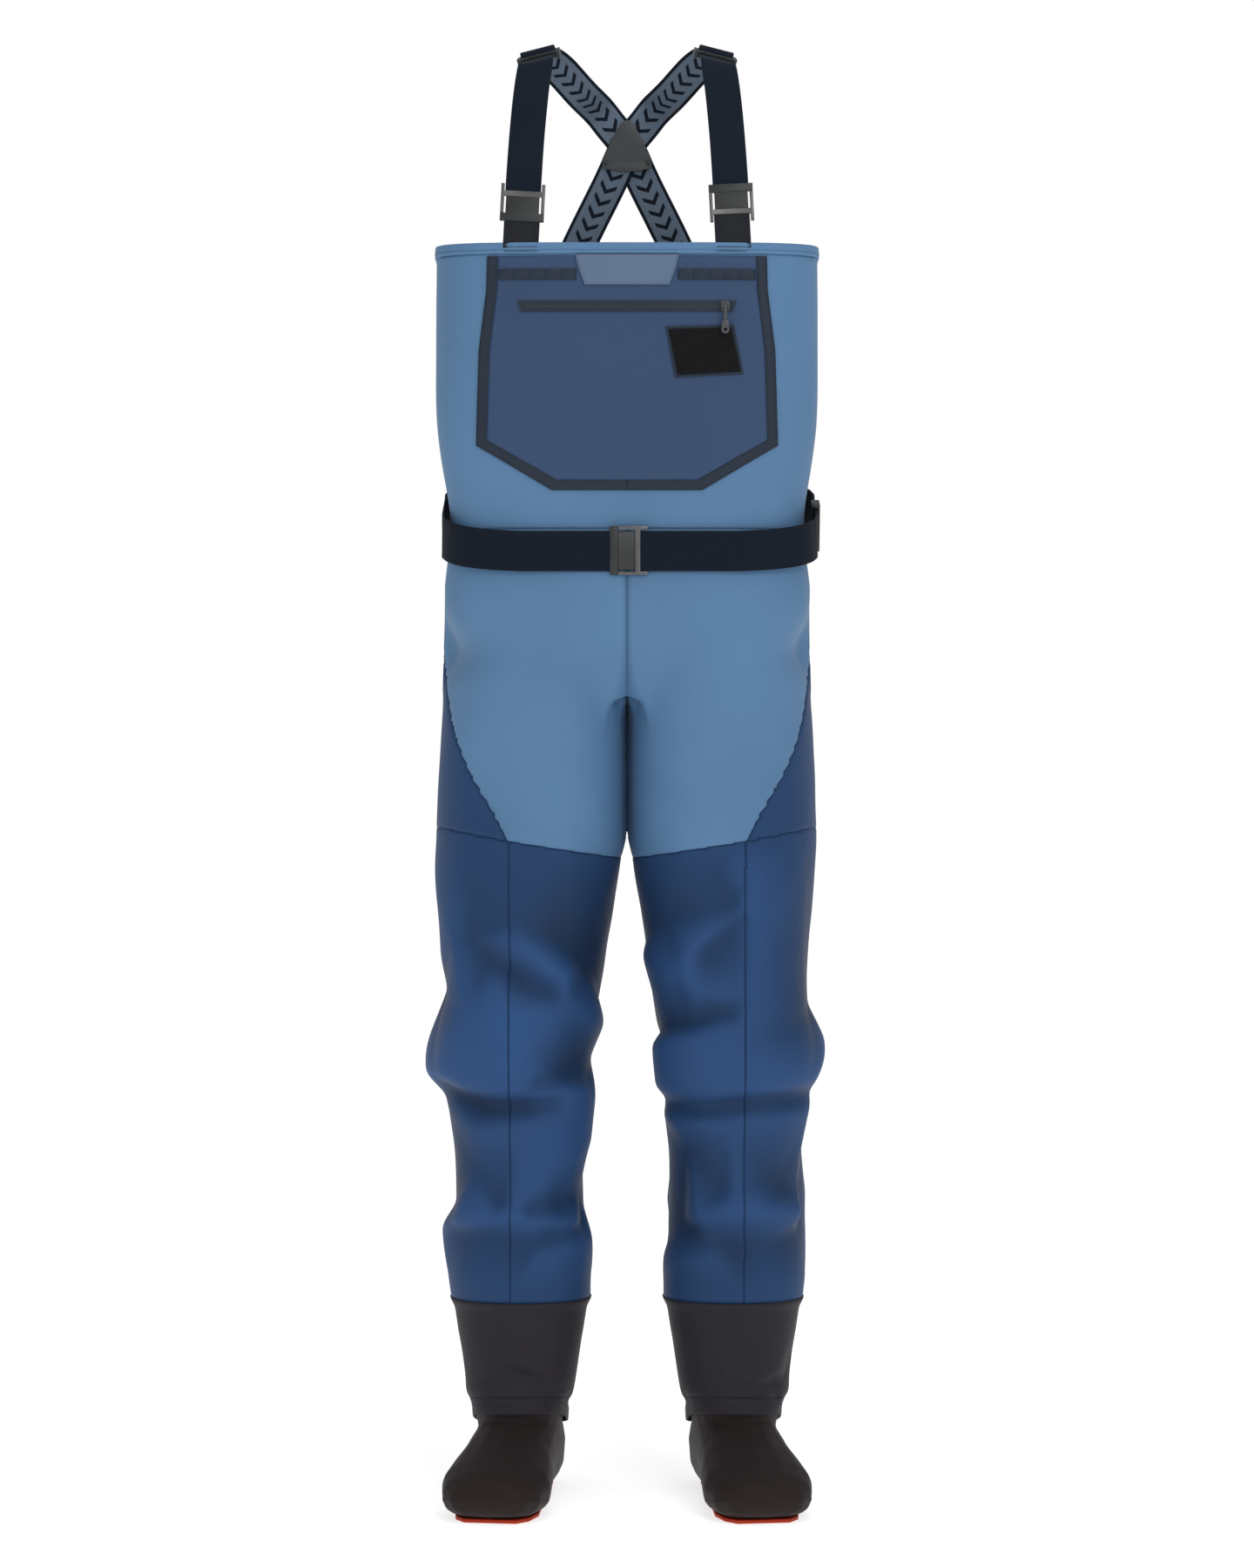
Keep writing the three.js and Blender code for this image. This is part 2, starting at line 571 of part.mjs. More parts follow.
const upFromBib = (distance) => STRAP_FOOT.clone().addScaledVector(STRAP_WAY, distance);
const onShoulder = (distance) => SHOULDER.clone().addScaledVector(SHOULDER_WAY, distance);
const at = (x, y, z, bank) => ({ p: new THREE.Vector3(x, y, z), bank });

const YOKE_HEIGHT = SHOULDER_HEIGHT - YOKE_DROP;
const YOKE_Y = CHEST_HALF_DEPTH - 9;
const STRAP_STACK = WEBBING_THICKNESS + GAP; // spacing of the two straps where they cross
const UPPER_LEAN = 38; // degrees from upright of a back strap above and below the yoke
const LOWER_LEAN = 25;

// A point of the crossing strap, measured from the crossing and up along the strap.
function onBack(distance, y) {
  const lean = distance < 0 ? LOWER_LEAN : UPPER_LEAN;
  const angle = THREE.MathUtils.degToRad(lean);
  return at(distance * Math.sin(angle), y, YOKE_HEIGHT + distance * Math.cos(angle), lean);
}

const LAP_BELOW = 42; // the strap's end is sewn to the bib's back, from this far below its edge
const LAP_ABOVE = 20;

function wholeStrap(start, y) {
  const lapY = bibFace(BACK_ANCHOR_X, BACK_TOP, 1) + HEM_STANDOFF + GAP + WEBBING_THICKNESS / 2;
  const rise = SHOULDER_HEIGHT - FRONT_TOP;
  return ribbon(
    [
      { p: upFromBib(start), bank: STRAP_BANK },
      { p: upFromBib(BUCKLE_RISE + BUCKLE_LENGTH + 8), bank: STRAP_BANK },
      at(SHOULDER_X + 11.5, 32 - CHEST_HALF_DEPTH, FRONT_TOP + rise * 0.56, STRAP_BANK + 3),
      at(SHOULDER_X + 7, 48 - CHEST_HALF_DEPTH, FRONT_TOP + rise * 0.79, SHOULDER_BANK - 5),
      ...[-SHOULDER_RUN - RUN_LEAD, -SHOULDER_RUN, -SHOULDER_RUN / 2, 0, RUN_LEAD].map((distance) => ({
        p: onShoulder(distance),
        bank: SHOULDER_BANK,
      })),
      at(SHOULDER_X - 5, 22, SHOULDER.z + 2.5, SHOULDER_BANK + 5),
      at(SHOULDER_X - 20, 44, SHOULDER.z - 6, 28),
      at(SHOULDER_X - 45, YOKE_Y - 38, SHOULDER.z - 28, UPPER_LEAN),
      onBack(48, y),
      onBack(32, y),
      onBack(0, y),
      onBack(-32, y),
      onBack(-48, y),
      at(-BACK_ANCHOR_X * 0.82, lapY - 1, BACK_TOP + 42, LOWER_LEAN),
      at(-BACK_ANCHOR_X + 4, lapY, BACK_TOP + 10, LOWER_LEAN),
    ],
    48,
  );
}

// The end of a back strap that is sewn flat on the bib.
function backLap() {
  const angle = THREE.MathUtils.degToRad(LOWER_LEAN);
  const half = WEBBING_WIDTH / 2;
  const outline = [[-half, -LAP_BELOW], [half, -LAP_BELOW], [half, LAP_ABOVE], [-half, LAP_ABOVE]];
  const lean = outline.map(([u, v]) => [
    u * Math.cos(angle) + v * Math.sin(angle) - BACK_ANCHOR_X,
    v * Math.cos(angle) - u * Math.sin(angle) + BACK_TOP,
  ]);
  const inner = HEM_STANDOFF + GAP;
  return clothOn(1, lean, [inner, inner + WEBBING_THICKNESS]);
}

// The short webbing between the bib's edge and the buckle.
function frontWebbing(length) {
  const ends = [-4, length / 2, length];
  const web = ribbon(ends.map((distance) => ({ p: upFromBib(distance), bank: STRAP_BANK })), 2);
  return web.subtract(underTopEdge(-GAP));
}

// Triangular plates on both sides of the crossing, held by two rivets through the straps' edges.
const YOKE_HALF_WIDTH = 28;
const YOKE_ABOVE = 29;
const YOKE_BELOW = 25;
const YOKE_CORNER = 6;
const YOKE_THICKNESS = 2.4;
const RIVET_RADIUS = 2.6;
const RIVET_HEAD = 0.8;
const RIVET_X = YOKE_HALF_WIDTH - 4;
const RIVET_Z = YOKE_HEIGHT - YOKE_BELOW + 6;
const INNER_PLATE_Y = YOKE_Y - WEBBING_THICKNESS / 2 - GAP - YOKE_THICKNESS;
const OUTER_PLATE_Y = YOKE_Y + STRAP_STACK + WEBBING_THICKNESS / 2 + GAP;

function rivet(x, radius, head) {
  const near = INNER_PLATE_Y - head;
  const far = OUTER_PLATE_Y + YOKE_THICKNESS + head;
  return pin(radius, new THREE.Vector3(x, (near + far) / 2, RIVET_Z), far - near, "y");
}

const rivetHoles = () =>
  rivet(-RIVET_X, RIVET_RADIUS + GAP, 5).add(rivet(RIVET_X, RIVET_RADIUS + GAP, 5));

function yokePlate(near) {
  const w = YOKE_HALF_WIDTH;
  const foot = YOKE_HEIGHT - YOKE_BELOW;
  const apex = YOKE_HEIGHT + YOKE_ABOVE;
  const shape = new THREE.Shape();
  shape.moveTo(-w, foot + YOKE_CORNER);
  shape.quadraticCurveTo(-w, foot, YOKE_CORNER - w, foot - 1);
  shape.quadraticCurveTo(0, foot - 6, w - YOKE_CORNER, foot - 1);
  shape.quadraticCurveTo(w, foot, w, foot + YOKE_CORNER);
  shape.quadraticCurveTo(w * 0.62, YOKE_HEIGHT + 10, YOKE_CORNER, apex - 3);
  shape.quadraticCurveTo(0, apex + 3, -YOKE_CORNER, apex - 3);
  shape.quadraticCurveTo(-w * 0.62, YOKE_HEIGHT + 10, -w, foot + YOKE_CORNER);
  return frontPrism(shape, [near, near + YOKE_THICKNESS]).subtract(rivetHoles());
}

// ---------------------------------------------------------------- belt
// The belt hugs the waist on a plane that rises to the back, straight at the sides and in front.
const BELT_STANDOFF = HEM_STANDOFF + GAP;
const beltMiddle = (y) => BELT_HEIGHT + BELT_SLOPE * y;
const BELT_SPAN = [WAIST - 65, WAIST + 65];
const widestUnderBelt = (key) =>
  Math.max(...[-0.9, -0.45, 0, 0.45, 0.9].map((k) => readTable(TORSO, WAIST + 65 * k)[key]));
const BELT_SIDE = widestUnderBelt("a") - 3 + BELT_STANDOFF; // inner face at the sides
const BELT_FRONT = WAIST_HALF_DEPTH + 5 + BELT_STANDOFF; // inner face in front

function beltLoft(grow, edge) {
  const oval = ring(
    { h: 0, x: BELT_SHIFT, y: 0, a: BELT_SIDE + 3, b: BELT_FRONT + 3 },
    TORSO_SQUARENESS,
    grow,
    40,
  );
  const straight = oval.map((p) => {
    const x = THREE.MathUtils.clamp(p.x - BELT_SHIFT, -BELT_SIDE - grow, BELT_SIDE + grow);
    return new THREE.Vector3(x + BELT_SHIFT, Math.max(p.y, -BELT_FRONT - grow), 0);
  });
  return loft([-1, 1].map((side) => straight.map((p) => p.clone().setZ(beltMiddle(p.y) + side * edge))));
}

const beltRing = () => beltLoft(BELT_THICKNESS, BELT_WIDTH / 2).subtract(beltLoft(0, BELT_WIDTH / 2 + 1));

// The buckle is in front, its tongue coming from the wearer's right. Its frame's y runs to -X.
const BELT_BUCKLE_X = 2;
const BELT_MID_Y = -BELT_FRONT - BELT_THICKNESS / 2;
const BELT_FRAME = new THREE.Matrix4()
  .makeBasis(new THREE.Vector3(0, 0, 1), new THREE.Vector3(-1, 0, 0), new THREE.Vector3(0, -1, 0))
  .setPosition(BELT_BUCKLE_X + BUCKLE_LENGTH / 2, BELT_MID_Y, beltMiddle(BELT_MID_Y));

function beltStraps() {
  const belt = beltRing();
  const tongueEnd = BELT_BUCKLE_X - BUCKLE_LENGTH / 2 - GAP;
  const frameEnd = BELT_BUCKLE_X + BUCKLE_LENGTH / 2 - ARM_TAIL + GAP;
  const sideSeam = -GAP;
  const frontLeft = block([-FAR, tongueEnd], [-FAR, sideSeam], ALL);
  const cutAway = block([-FAR, frameEnd], [-FAR, 0], ALL);
  return { front: belt.intersect(frontLeft), body: belt.subtract(cutAway) };
}

// The belt's slider, on the wearer's left side.
const BELT_SLIDER_Y = -20;
const BELT_WAY = new THREE.Vector3(0, 1, BELT_SLOPE).normalize();
const BELT_SLIDER_FRAME = new THREE.Matrix4()
  .makeBasis(
    new THREE.Vector3().crossVectors(BELT_WAY, new THREE.Vector3(1, 0, 0)),
    BELT_WAY,
    new THREE.Vector3(1, 0, 0),
  )
  .setPosition(
    BELT_SIDE + BELT_SHIFT + BELT_THICKNESS / 2,
    BELT_SLIDER_Y,
    beltMiddle(BELT_SLIDER_Y),
  );

// A cloth loop behind, which stands off the belt and is sewn to the body above and below it.
const BELT_LOOP_X = 85;
const BELT_LOOP_WIDTH = 14;
const BELT_LOOP_THICKNESS = 1.6;

function beltLoop() {
  const xs = [BELT_LOOP_X - BELT_LOOP_WIDTH / 2, BELT_LOOP_X + BELT_LOOP_WIDTH / 2];
  const away = BELT_FRONT + BELT_THICKNESS + 3;
  const middle = beltMiddle(BELT_FRONT - 8);
  const low = middle - BELT_WIDTH / 2 - 7;
  const high = middle + BELT_WIDTH / 2 + 7;
  const heights = [low - BELT_LOOP_THICKNESS, high + BELT_LOOP_THICKNESS];
  const outer = block(xs, [HIP_HALF_DEPTH / 2, away + BELT_LOOP_THICKNESS], heights);
  return outer
    .subtract(block(xs, [0, away], [low, high]))
    .subtract(torso([WAIST - 110, WAIST + 110], GAP));
}

// ---------------------------------------------------------------- chest pocket
const POCKET_TOP = FRONT_TOP - HEM_HEIGHT - 2;
const POCKET_FOOT = POCKET_TOP - POCKET_HEIGHT;
const LAYER = GAP + POCKET_CLOTH; // outer face of the pocket's cloth
const ZIP_HEIGHT = FRONT_TOP - ZIP_DROP;

// The pocket widens downwards and ends in a three-sided lower edge.
function pocketOutline(inset, top) {
  const half = POCKET_HALF_WIDTH - inset;
  const side = [
    [half - 12, top],
    [half - 11, POCKET_TOP - 36],
    [half - 3, POCKET_TOP - 100],
    [half, POCKET_TOP - 200 + inset / 2],
    [half * 0.5, POCKET_FOOT + inset],
  ];
  return [...side, ...side.map(([x, h]) => [-x, h]).reverse()];
}

const pocketTape = () =>
  clothOn(-1, pocketOutline(0, POCKET_TOP), [GAP, LAYER + 0.8]).subtract(
    frontPrism(pocketOutline(POCKET_TAPE, POCKET_TOP + 10), [-FAR, 0]),
  );

const pocketPanel = () => clothOn(-1, pocketOutline(POCKET_TAPE + GAP, POCKET_TOP), [GAP, LAYER]);

// Trim sewn or welded on the pocket, which follows its curve.
const trim = (outline, thickness) => clothOn(-1, outline, [LAYER + GAP, LAYER + GAP + thickness]);

const rectangle = ([x0, x1], [z0, z1]) => [[x0, z0], [x1, z0], [x1, z1], [x0, z1]];

// The front tab hangs from the hem, its sides sloping in.
const TAB_DROP = 45;
const tabOutline = [
  [-45, FRONT_TOP - TAB_DROP],
  [45, FRONT_TOP - TAB_DROP],
  [55, POCKET_TOP],
  [-55, POCKET_TOP],
];

const DAISY_TOP = FRONT_TOP - 28;
const daisyOutline = rectangle([54, POCKET_HALF_WIDTH - POCKET_TAPE - 13], [DAISY_TOP - 12, DAISY_TOP]);

// The fly patch, a leaning four-sided foam pad with a welded border.
const PATCH_X = 82;
const PATCH_HEIGHT = FRONT_TOP - 115;
const PATCH_BORDER = 3;
const PATCH_THICKNESS = 2.2;

function patchOutline(inset) {
  const half = 36 - inset;
  const rise = 26.5 - inset;
  return [[5 - half, -rise - 2], [5 + half, -rise + 2], [half - 5, rise + 1], [-half - 5, rise - 1]].map(
    ([x, z]) => [PATCH_X + x, PATCH_HEIGHT + z],
  );
}

const flyPatch = () => trim(patchOutline(PATCH_BORDER + GAP), PATCH_THICKNESS);

const patchBorder = () =>
  trim(patchOutline(0), 1).subtract(frontPrism(patchOutline(PATCH_BORDER), [-FAR, 0]));

// The zip is flat and level, so that its slider runs straight along X.
const ZIP_TAPE_THICKNESS = 1.6;
const ZIP_BACK = bibFace(0, ZIP_HEIGHT, -1) - LAYER - GAP;
const ZIP_FACE = ZIP_BACK - ZIP_TAPE_THICKNESS - GAP;
const SLIDER_X = 104; // the zip's slider at its closed end
const BAIL = new THREE.Vector3(SLIDER_X, ZIP_FACE - 4.2, ZIP_HEIGHT - 1);

function zipTape() {
  const half = ZIP_LENGTH / 2;
  const low = ZIP_HEIGHT - ZIP_TAPE_WIDTH / 2;
  const high = ZIP_HEIGHT + ZIP_TAPE_WIDTH / 2;
  const outline = [[4 - half, low], [half - 4, low], [half, high], [-half, high]];
  return frontPrism(outline, [ZIP_BACK - ZIP_TAPE_THICKNESS, ZIP_BACK]);
}

function zipSlider() {
  const ear = (x) =>
    block([x - 0.9, x + 0.9], [BAIL.y - 1.8, ZIP_FACE - 1.5], [BAIL.z - 1.8, BAIL.z + 1.8]);
  return union([
    block([SLIDER_X - 4.5, SLIDER_X + 4.5], [ZIP_FACE - 2, ZIP_FACE], [ZIP_HEIGHT - 5, ZIP_HEIGHT + 5]),
    ear(SLIDER_X - 3.2),
    ear(SLIDER_X + 3.2),
    pin(0.8, BAIL, 6.4),
  ]);
}

// The pull: an eye round the slider's pin, and a tape down to a moulded grip.
const PULL_LENGTH = 14;

function zipPull() {
  const tape = block(
    [BAIL.x - 1.8, BAIL.x + 1.8],
    [BAIL.y - 1, BAIL.y + 1],
    [BAIL.z - PULL_LENGTH, BAIL.z - 1],
  );
  return pin(1.9, BAIL, 3.6).add(tape).subtract(pin(1.1, BAIL, 10));
}

const GRIP_RADIUS = 4.4;
const GRIP_LENGTH = 10;
const GRIP_THICKNESS = 3.2;

function zipGrip() {
  const top = BAIL.z - PULL_LENGTH - GAP;
  const shape = new THREE.Shape();
  shape.moveTo(SLIDER_X + 3.2, top);
  shape.lineTo(SLIDER_X - 3.2, top);
  shape.absarc(SLIDER_X, top - GRIP_LENGTH, GRIP_RADIUS, Math.PI, 2 * Math.PI);
  const loop = new THREE.Path();
  loop.absarc(SLIDER_X, top - GRIP_LENGTH, 1.7, 0, 2 * Math.PI, true);
  shape.holes.push(loop);
  return frontPrism(shape, [BAIL.y - GRIP_THICKNESS / 2, BAIL.y + GRIP_THICKNESS / 2]);
}

// ---------------------------------------------------------------- materials
const paint = (color, roughness, metalness = 0) =>
  new THREE.MeshStandardMaterial({ color, roughness, metalness });
const steelBlue = paint(0x6185a6, 0.75);
const deepBlue = paint(0x314d74, 0.75);
const indigo = paint(0x3e5575, 0.7);
const darkTape = paint(0x2a333e, 0.6);
const navyWebbing = paint(0x1a212c, 0.85);
const ribbedWebbing = paint(0x2a2c31, 0.9);
const printedWebbing = paint(0x67778c, 0.8);
const charcoal = paint(0x333237, 0.85);
const bootieBlack = paint(0x2a2423, 0.85);
const soleRed = paint(0x9c2b14, 0.7);
const gunmetal = paint(0x4a4c4d, 0.4, 0.2);
const moulded = paint(0x3b3f42, 0.5);
const foamBlack = paint(0x16171b, 0.95);
const tabGrey = paint(0x667891, 0.7);

// ---------------------------------------------------------------- assembly
const root = new THREE.Group();
root.name = "chest_waders";
const wearersLeft = new THREE.Group(); // the wearer's left is +X
const wearersRight = new THREE.Group();
wearersRight.scale.x = -1;
for (const side of [wearersLeft, wearersRight]) {
  side.position.z = -SHOULDER_HEIGHT;
  root.add(side);
}

// Adds a mesh; hardware is made flat and placed by its own frame.
function add(name, solid, material, side = wearersLeft, frame = new THREE.Matrix4()) {
  const mesh = new THREE.Mesh(geometryOf(solid), material);
  mesh.name = name;
  mesh.applyMatrix4(frame);
  side.add(mesh);
}

function addPair(name, solid, material, frame) {
  add(`left_${name}`, solid, material, wearersLeft, frame);
  add(`right_${name}`, solid, material, wearersRight, frame);
}

const bib = bibCloth();
add("bib_front", bib.intersect(frontHalf), steelBlue);
add("bib_back", bib.intersect(backHalf), steelBlue);
const hem = topHem();
add("top_hem_front", hem.intersect(frontHalf), steelBlue);
add("top_hem_back", hem.intersect(backHalf), steelBlue);

const panels = trouserPanels();
addPair("thigh_front", panels.thigh_front, steelBlue);
addPair("seat", panels.seat, steelBlue);
addPair("side_panel", panels.side_panel, deepBlue);
addPair("inner_shin", panels.inner_shin, deepBlue);
addPair("outer_shin", panels.outer_shin, deepBlue);

addPair("gravel_guard", gravelGuard(), charcoal);
addPair("guard_hem", guardHem(), charcoal);
const sock = bootie();
addPair("bootie_shaft", sock.shaft, bootieBlack);
addPair("bootie_foot", sock.foot, bootieBlack);
addPair("sole", sole(), soleRed);

// The buckles are opposed: the left strap ends in a tongue, and the right strap in a frame.
const buckleUpright = strapFrame(upFromBib(BUCKLE_RISE), STRAP_WAY, THREE.MathUtils.degToRad(STRAP_BANK));
const endForEnd = new THREE.Matrix4().makeRotationZ(Math.PI).setPosition(0, BUCKLE_LENGTH, 0);
const buckleTurned = buckleUpright.clone().multiply(endForEnd);
const tailEnd = ARM_TAIL - GAP;
const barEnd = BUCKLE_LENGTH + GAP;

add("left_buckle_tongue", tongue(WEBBING_WIDTH), gunmetal, wearersLeft, buckleUpright);
add("left_buckle_frame", buckleFrame(WEBBING_WIDTH), gunmetal, wearersLeft, buckleUpright);
add("right_buckle_tongue", tongue(WEBBING_WIDTH), gunmetal, wearersRight, buckleTurned);
add("right_buckle_frame", buckleFrame(WEBBING_WIDTH), gunmetal, wearersRight, buckleTurned);
add("left_front_webbing", frontWebbing(BUCKLE_RISE + tailEnd), ribbedWebbing, wearersLeft);
add("right_front_webbing", frontWebbing(BUCKLE_RISE - GAP), ribbedWebbing, wearersRight);

const plainPart = block(ALL, [-FAR, STRAP_JOIN_Y - SEAM], ALL);
const printedPart = block(ALL, [STRAP_JOIN_Y + SEAM, FAR], ALL);
const straps = [
  ["left", wearersLeft, wholeStrap(BUCKLE_RISE + barEnd, YOKE_Y)],
  ["right", wearersRight, wholeStrap(BUCKLE_RISE + BUCKLE_LENGTH - tailEnd, YOKE_Y + STRAP_STACK)],
];
for (const [side, group, strap] of straps) {
  const printed = strap.intersect(printedPart).subtract(rivetHoles()).add(backLap());
  add(`${side}_shoulder_strap`, strap.intersect(plainPart), navyWebbing, group);
  add(`${side}_back_strap`, printed, printedWebbing, group);
}

const shoulderFrame = strapFrame(
  onShoulder(-SLIDER_LENGTH / 2),
  SHOULDER_WAY,
  THREE.MathUtils.degToRad(SHOULDER_BANK),
);
addPair("shoulder_slider", slider(WEBBING_WIDTH, WEBBING_THICKNESS), gunmetal, shoulderFrame);
addPair("strap_fold", strapFold(WEBBING_WIDTH, WEBBING_THICKNESS), navyWebbing, shoulderFrame);

add("yoke_plate_inner", yokePlate(INNER_PLATE_Y), moulded);
add("yoke_plate_outer", yokePlate(OUTER_PLATE_Y), moulded);
addPair("yoke_rivet", rivet(RIVET_X, RIVET_RADIUS, RIVET_HEAD), moulded);

const belt = beltStraps();
add("belt_front_strap", belt.front, navyWebbing);
add("belt_body_strap", belt.body, navyWebbing);
add("belt_tongue", tongue(BELT_WIDTH), gunmetal, wearersLeft, BELT_FRAME);
add("belt_frame", buckleFrame(BELT_WIDTH), gunmetal, wearersLeft, BELT_FRAME);
add("belt_slider", slider(BELT_WIDTH, BELT_THICKNESS), gunmetal, wearersLeft, BELT_SLIDER_FRAME);
addPair("belt_loop", beltLoop(), steelBlue);

add("pocket_panel", pocketPanel(), indigo);
add("pocket_tape", pocketTape(), darkTape);
add("front_tab", trim(tabOutline, 0.8), tabGrey);
addPair("daisy_chain", trim(daisyOutline, 1.2), darkTape);
add("fly_patch", flyPatch(), foamBlack);
add("fly_patch_border", patchBorder(), darkTape);
add("zip_tape", zipTape(), darkTape);
add("zip_slider", zipSlider(), moulded);
add("zip_pull", zipPull(), moulded);
add("zip_grip", zipGrip(), moulded);

export default root;
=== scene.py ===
import math

import bmesh
import bpy
import numpy as np
from bpy.props import FloatProperty, FloatVectorProperty, IntProperty, PointerProperty
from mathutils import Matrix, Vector, noise
from mathutils.bvhtree import BVHTree
from mathutils.geometry import delaunay_2d_cdt


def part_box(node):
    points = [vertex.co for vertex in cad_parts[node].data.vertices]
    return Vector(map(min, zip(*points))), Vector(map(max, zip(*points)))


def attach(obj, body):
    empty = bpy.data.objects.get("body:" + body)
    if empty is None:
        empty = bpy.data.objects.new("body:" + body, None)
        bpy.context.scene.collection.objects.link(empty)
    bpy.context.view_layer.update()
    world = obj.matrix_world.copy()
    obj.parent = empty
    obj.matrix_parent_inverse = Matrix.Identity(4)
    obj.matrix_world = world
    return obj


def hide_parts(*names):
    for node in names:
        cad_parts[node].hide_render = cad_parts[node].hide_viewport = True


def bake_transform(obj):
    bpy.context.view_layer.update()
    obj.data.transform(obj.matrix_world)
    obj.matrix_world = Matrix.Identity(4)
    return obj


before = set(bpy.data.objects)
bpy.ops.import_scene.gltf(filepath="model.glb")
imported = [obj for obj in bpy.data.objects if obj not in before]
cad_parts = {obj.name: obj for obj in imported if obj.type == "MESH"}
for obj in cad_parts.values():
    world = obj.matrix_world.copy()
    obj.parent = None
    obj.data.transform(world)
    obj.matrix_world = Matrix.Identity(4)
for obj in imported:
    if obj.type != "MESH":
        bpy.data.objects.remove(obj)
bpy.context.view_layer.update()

bl_info = {
    "name": "Chest Waders",
    "version": (1, 0, 0),
    "blender": (4, 5, 0),
    "location": "View3D > Sidebar > Waders",
    "description": "Sews, folds and trims a pair of stockingfoot chest waders round their packed frame",
    "category": "Add Mesh",
}

# Everything is in metres, in the frame's own axes: +Z up, the front towards -Y, the wearer's left
# on +X, and the origin between the straps' undersides at the shoulder.
MM = 0.001
GAP = 0.3 * MM
# The rubber under a sock is a little narrower and shorter than its collision solid.
SOLE_WIDTH_SHARE = 0.93
SOLE_LENGTH_SHARE = 0.965
# The belt's webbing.
BELT_WIDTH = 43 * MM
BELT_THICKNESS = 2.6 * MM
SIDES = {"left": 1, "right": -1}
SOLE_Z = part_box("left_sole")[0].z


def z_at(height):
    """The frame's z of a height above the soles in millimetres."""
    return SOLE_Z + height * MM


def low(node):
    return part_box(node)[0]


def high(node):
    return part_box(node)[1]


# ---------------------------------------------------------------- sizes and colours
def colour(name, description, value):
    return FloatVectorProperty(
        name=name, description=description, subtype="COLOR", size=3, min=0, max=1, default=value
    )


def length(name, description, value, most=0.1):
    return FloatProperty(
        name=name, description=description, unit="LENGTH", min=0, max=most, precision=5, default=value
    )


class WaderSizes(bpy.types.PropertyGroup):
    """Sizes of the cloth and of what is sewn to it."""

    grid: length("Cloth grid", "Spacing of the shell's mesh", 0.0045)
    cloth: length("Cloth thickness", "Thickness of the laminated shell cloth", 0.0009)
    seam_radius: length("Seam radius", "Half the width of a felled seam", 0.0007)
    seam_sink: length("Seam sink", "How far a seam draws the cloth in", 0.0009)
    stitch_pitch: length("Stitch pitch", "Distance from one stitch to the next", 0.0032)
    stitch_radius: length("Stitch radius", "Half the thickness of the sewing thread", 0.00028)
    rib_pitch: length("Rib pitch", "Distance between the ribs of the lower webbing", 0.0019)
    fold_scale: FloatProperty(
        name="Fold depth", description="Depth of the cloth's folds, 1 as made", min=0, max=2, default=1.0
    )
    noise_seed: IntProperty(name="Wrinkle seed", description="Choice of small wrinkles", default=3)


class WaderColours(bpy.types.PropertyGroup):
    """Linear colours of the cloths, tapes, webbing and hardware."""

    upper: colour("Upper cloth", "Bib, thighs and seat", (0.091, 0.193, 0.341))
    lower: colour("Lower cloth", "Side panels and lower legs", (0.0140, 0.0475, 0.132))
    pocket: colour("Pocket cloth", "Chest pocket", (0.033, 0.065, 0.135))
    lining: colour("Lining", "Inside of the shell", (0.30, 0.32, 0.34))
    tape: colour("Bonded tape", "Pocket border and zip", (0.020, 0.029, 0.045))
    webbing: colour("Navy webbing", "Shoulder straps and belt", (0.0040, 0.0085, 0.0175))
    ribbed: colour("Ribbed webbing", "Short straps on the bib", (0.020, 0.022, 0.028))
    printed: colour("Printed webbing", "Ground of the crossed back straps", (0.125, 0.165, 0.225))
    guard: colour("Gravel guard", "Knit face of the ankle guards", (0.0240, 0.0215, 0.0275))
    bootie: colour("Bootie", "Neoprene feet", (0.0200, 0.0125, 0.0125))
    sole: colour("Sole", "Edge of the feet", (0.42, 0.035, 0.012))
    metal: colour("Buckle metal", "Buckle plates and sliders", (0.038, 0.040, 0.041))
    bar: colour("Bright metal", "Bars of the buckles", (0.13, 0.13, 0.13))
    moulded: colour("Moulded plastic", "Yoke plates and zip pull", (0.040, 0.045, 0.050))
    patch: colour("Fly patch", "Looped foam of the fly patch", (0.0050, 0.0050, 0.0060))
    tab: colour("Front tab", "Woven tab under the hem", (0.105, 0.155, 0.240))


def sizes():
    return bpy.context.scene.wader_sizes


def colours():
    return bpy.context.scene.wader_colours


# ---------------------------------------------------------------- shader nodes
def node(tree, kind, inputs=None, **settings):
    """Adds a node; inputs maps socket names or numbers to values or to other nodes' sockets."""
    made = tree.nodes.new(kind)
    for key, value in settings.items():
        setattr(made, key, value)
    for key, value in (inputs or {}).items():
        if isinstance(value, bpy.types.NodeSocket):
            tree.links.new(value, made.inputs[key])
        else:
            made.inputs[key].default_value = value
    return made


def math_node(tree, operation, *values):
    return node(tree, "ShaderNodeMath", dict(enumerate(values)), operation=operation).outputs[0]


def shader_group(name, inputs, outputs):
    """A node group with its own ends; inputs and outputs are (name, socket type, default) rows."""
    tree = bpy.data.node_groups.new(name, "ShaderNodeTree")
    for label, kind, value in inputs:
        socket = tree.interface.new_socket(label, in_out="INPUT", socket_type=kind)
        if value is not None:
            socket.default_value = value
    for label, kind in outputs:
        tree.interface.new_socket(label, in_out="OUTPUT", socket_type=kind)
    return tree, tree.nodes.new("NodeGroupInput").outputs, tree.nodes.new("NodeGroupOutput").inputs


VECTOR, NUMBER, COLOUR = "NodeSocketVector", "NodeSocketFloat", "NodeSocketColor"


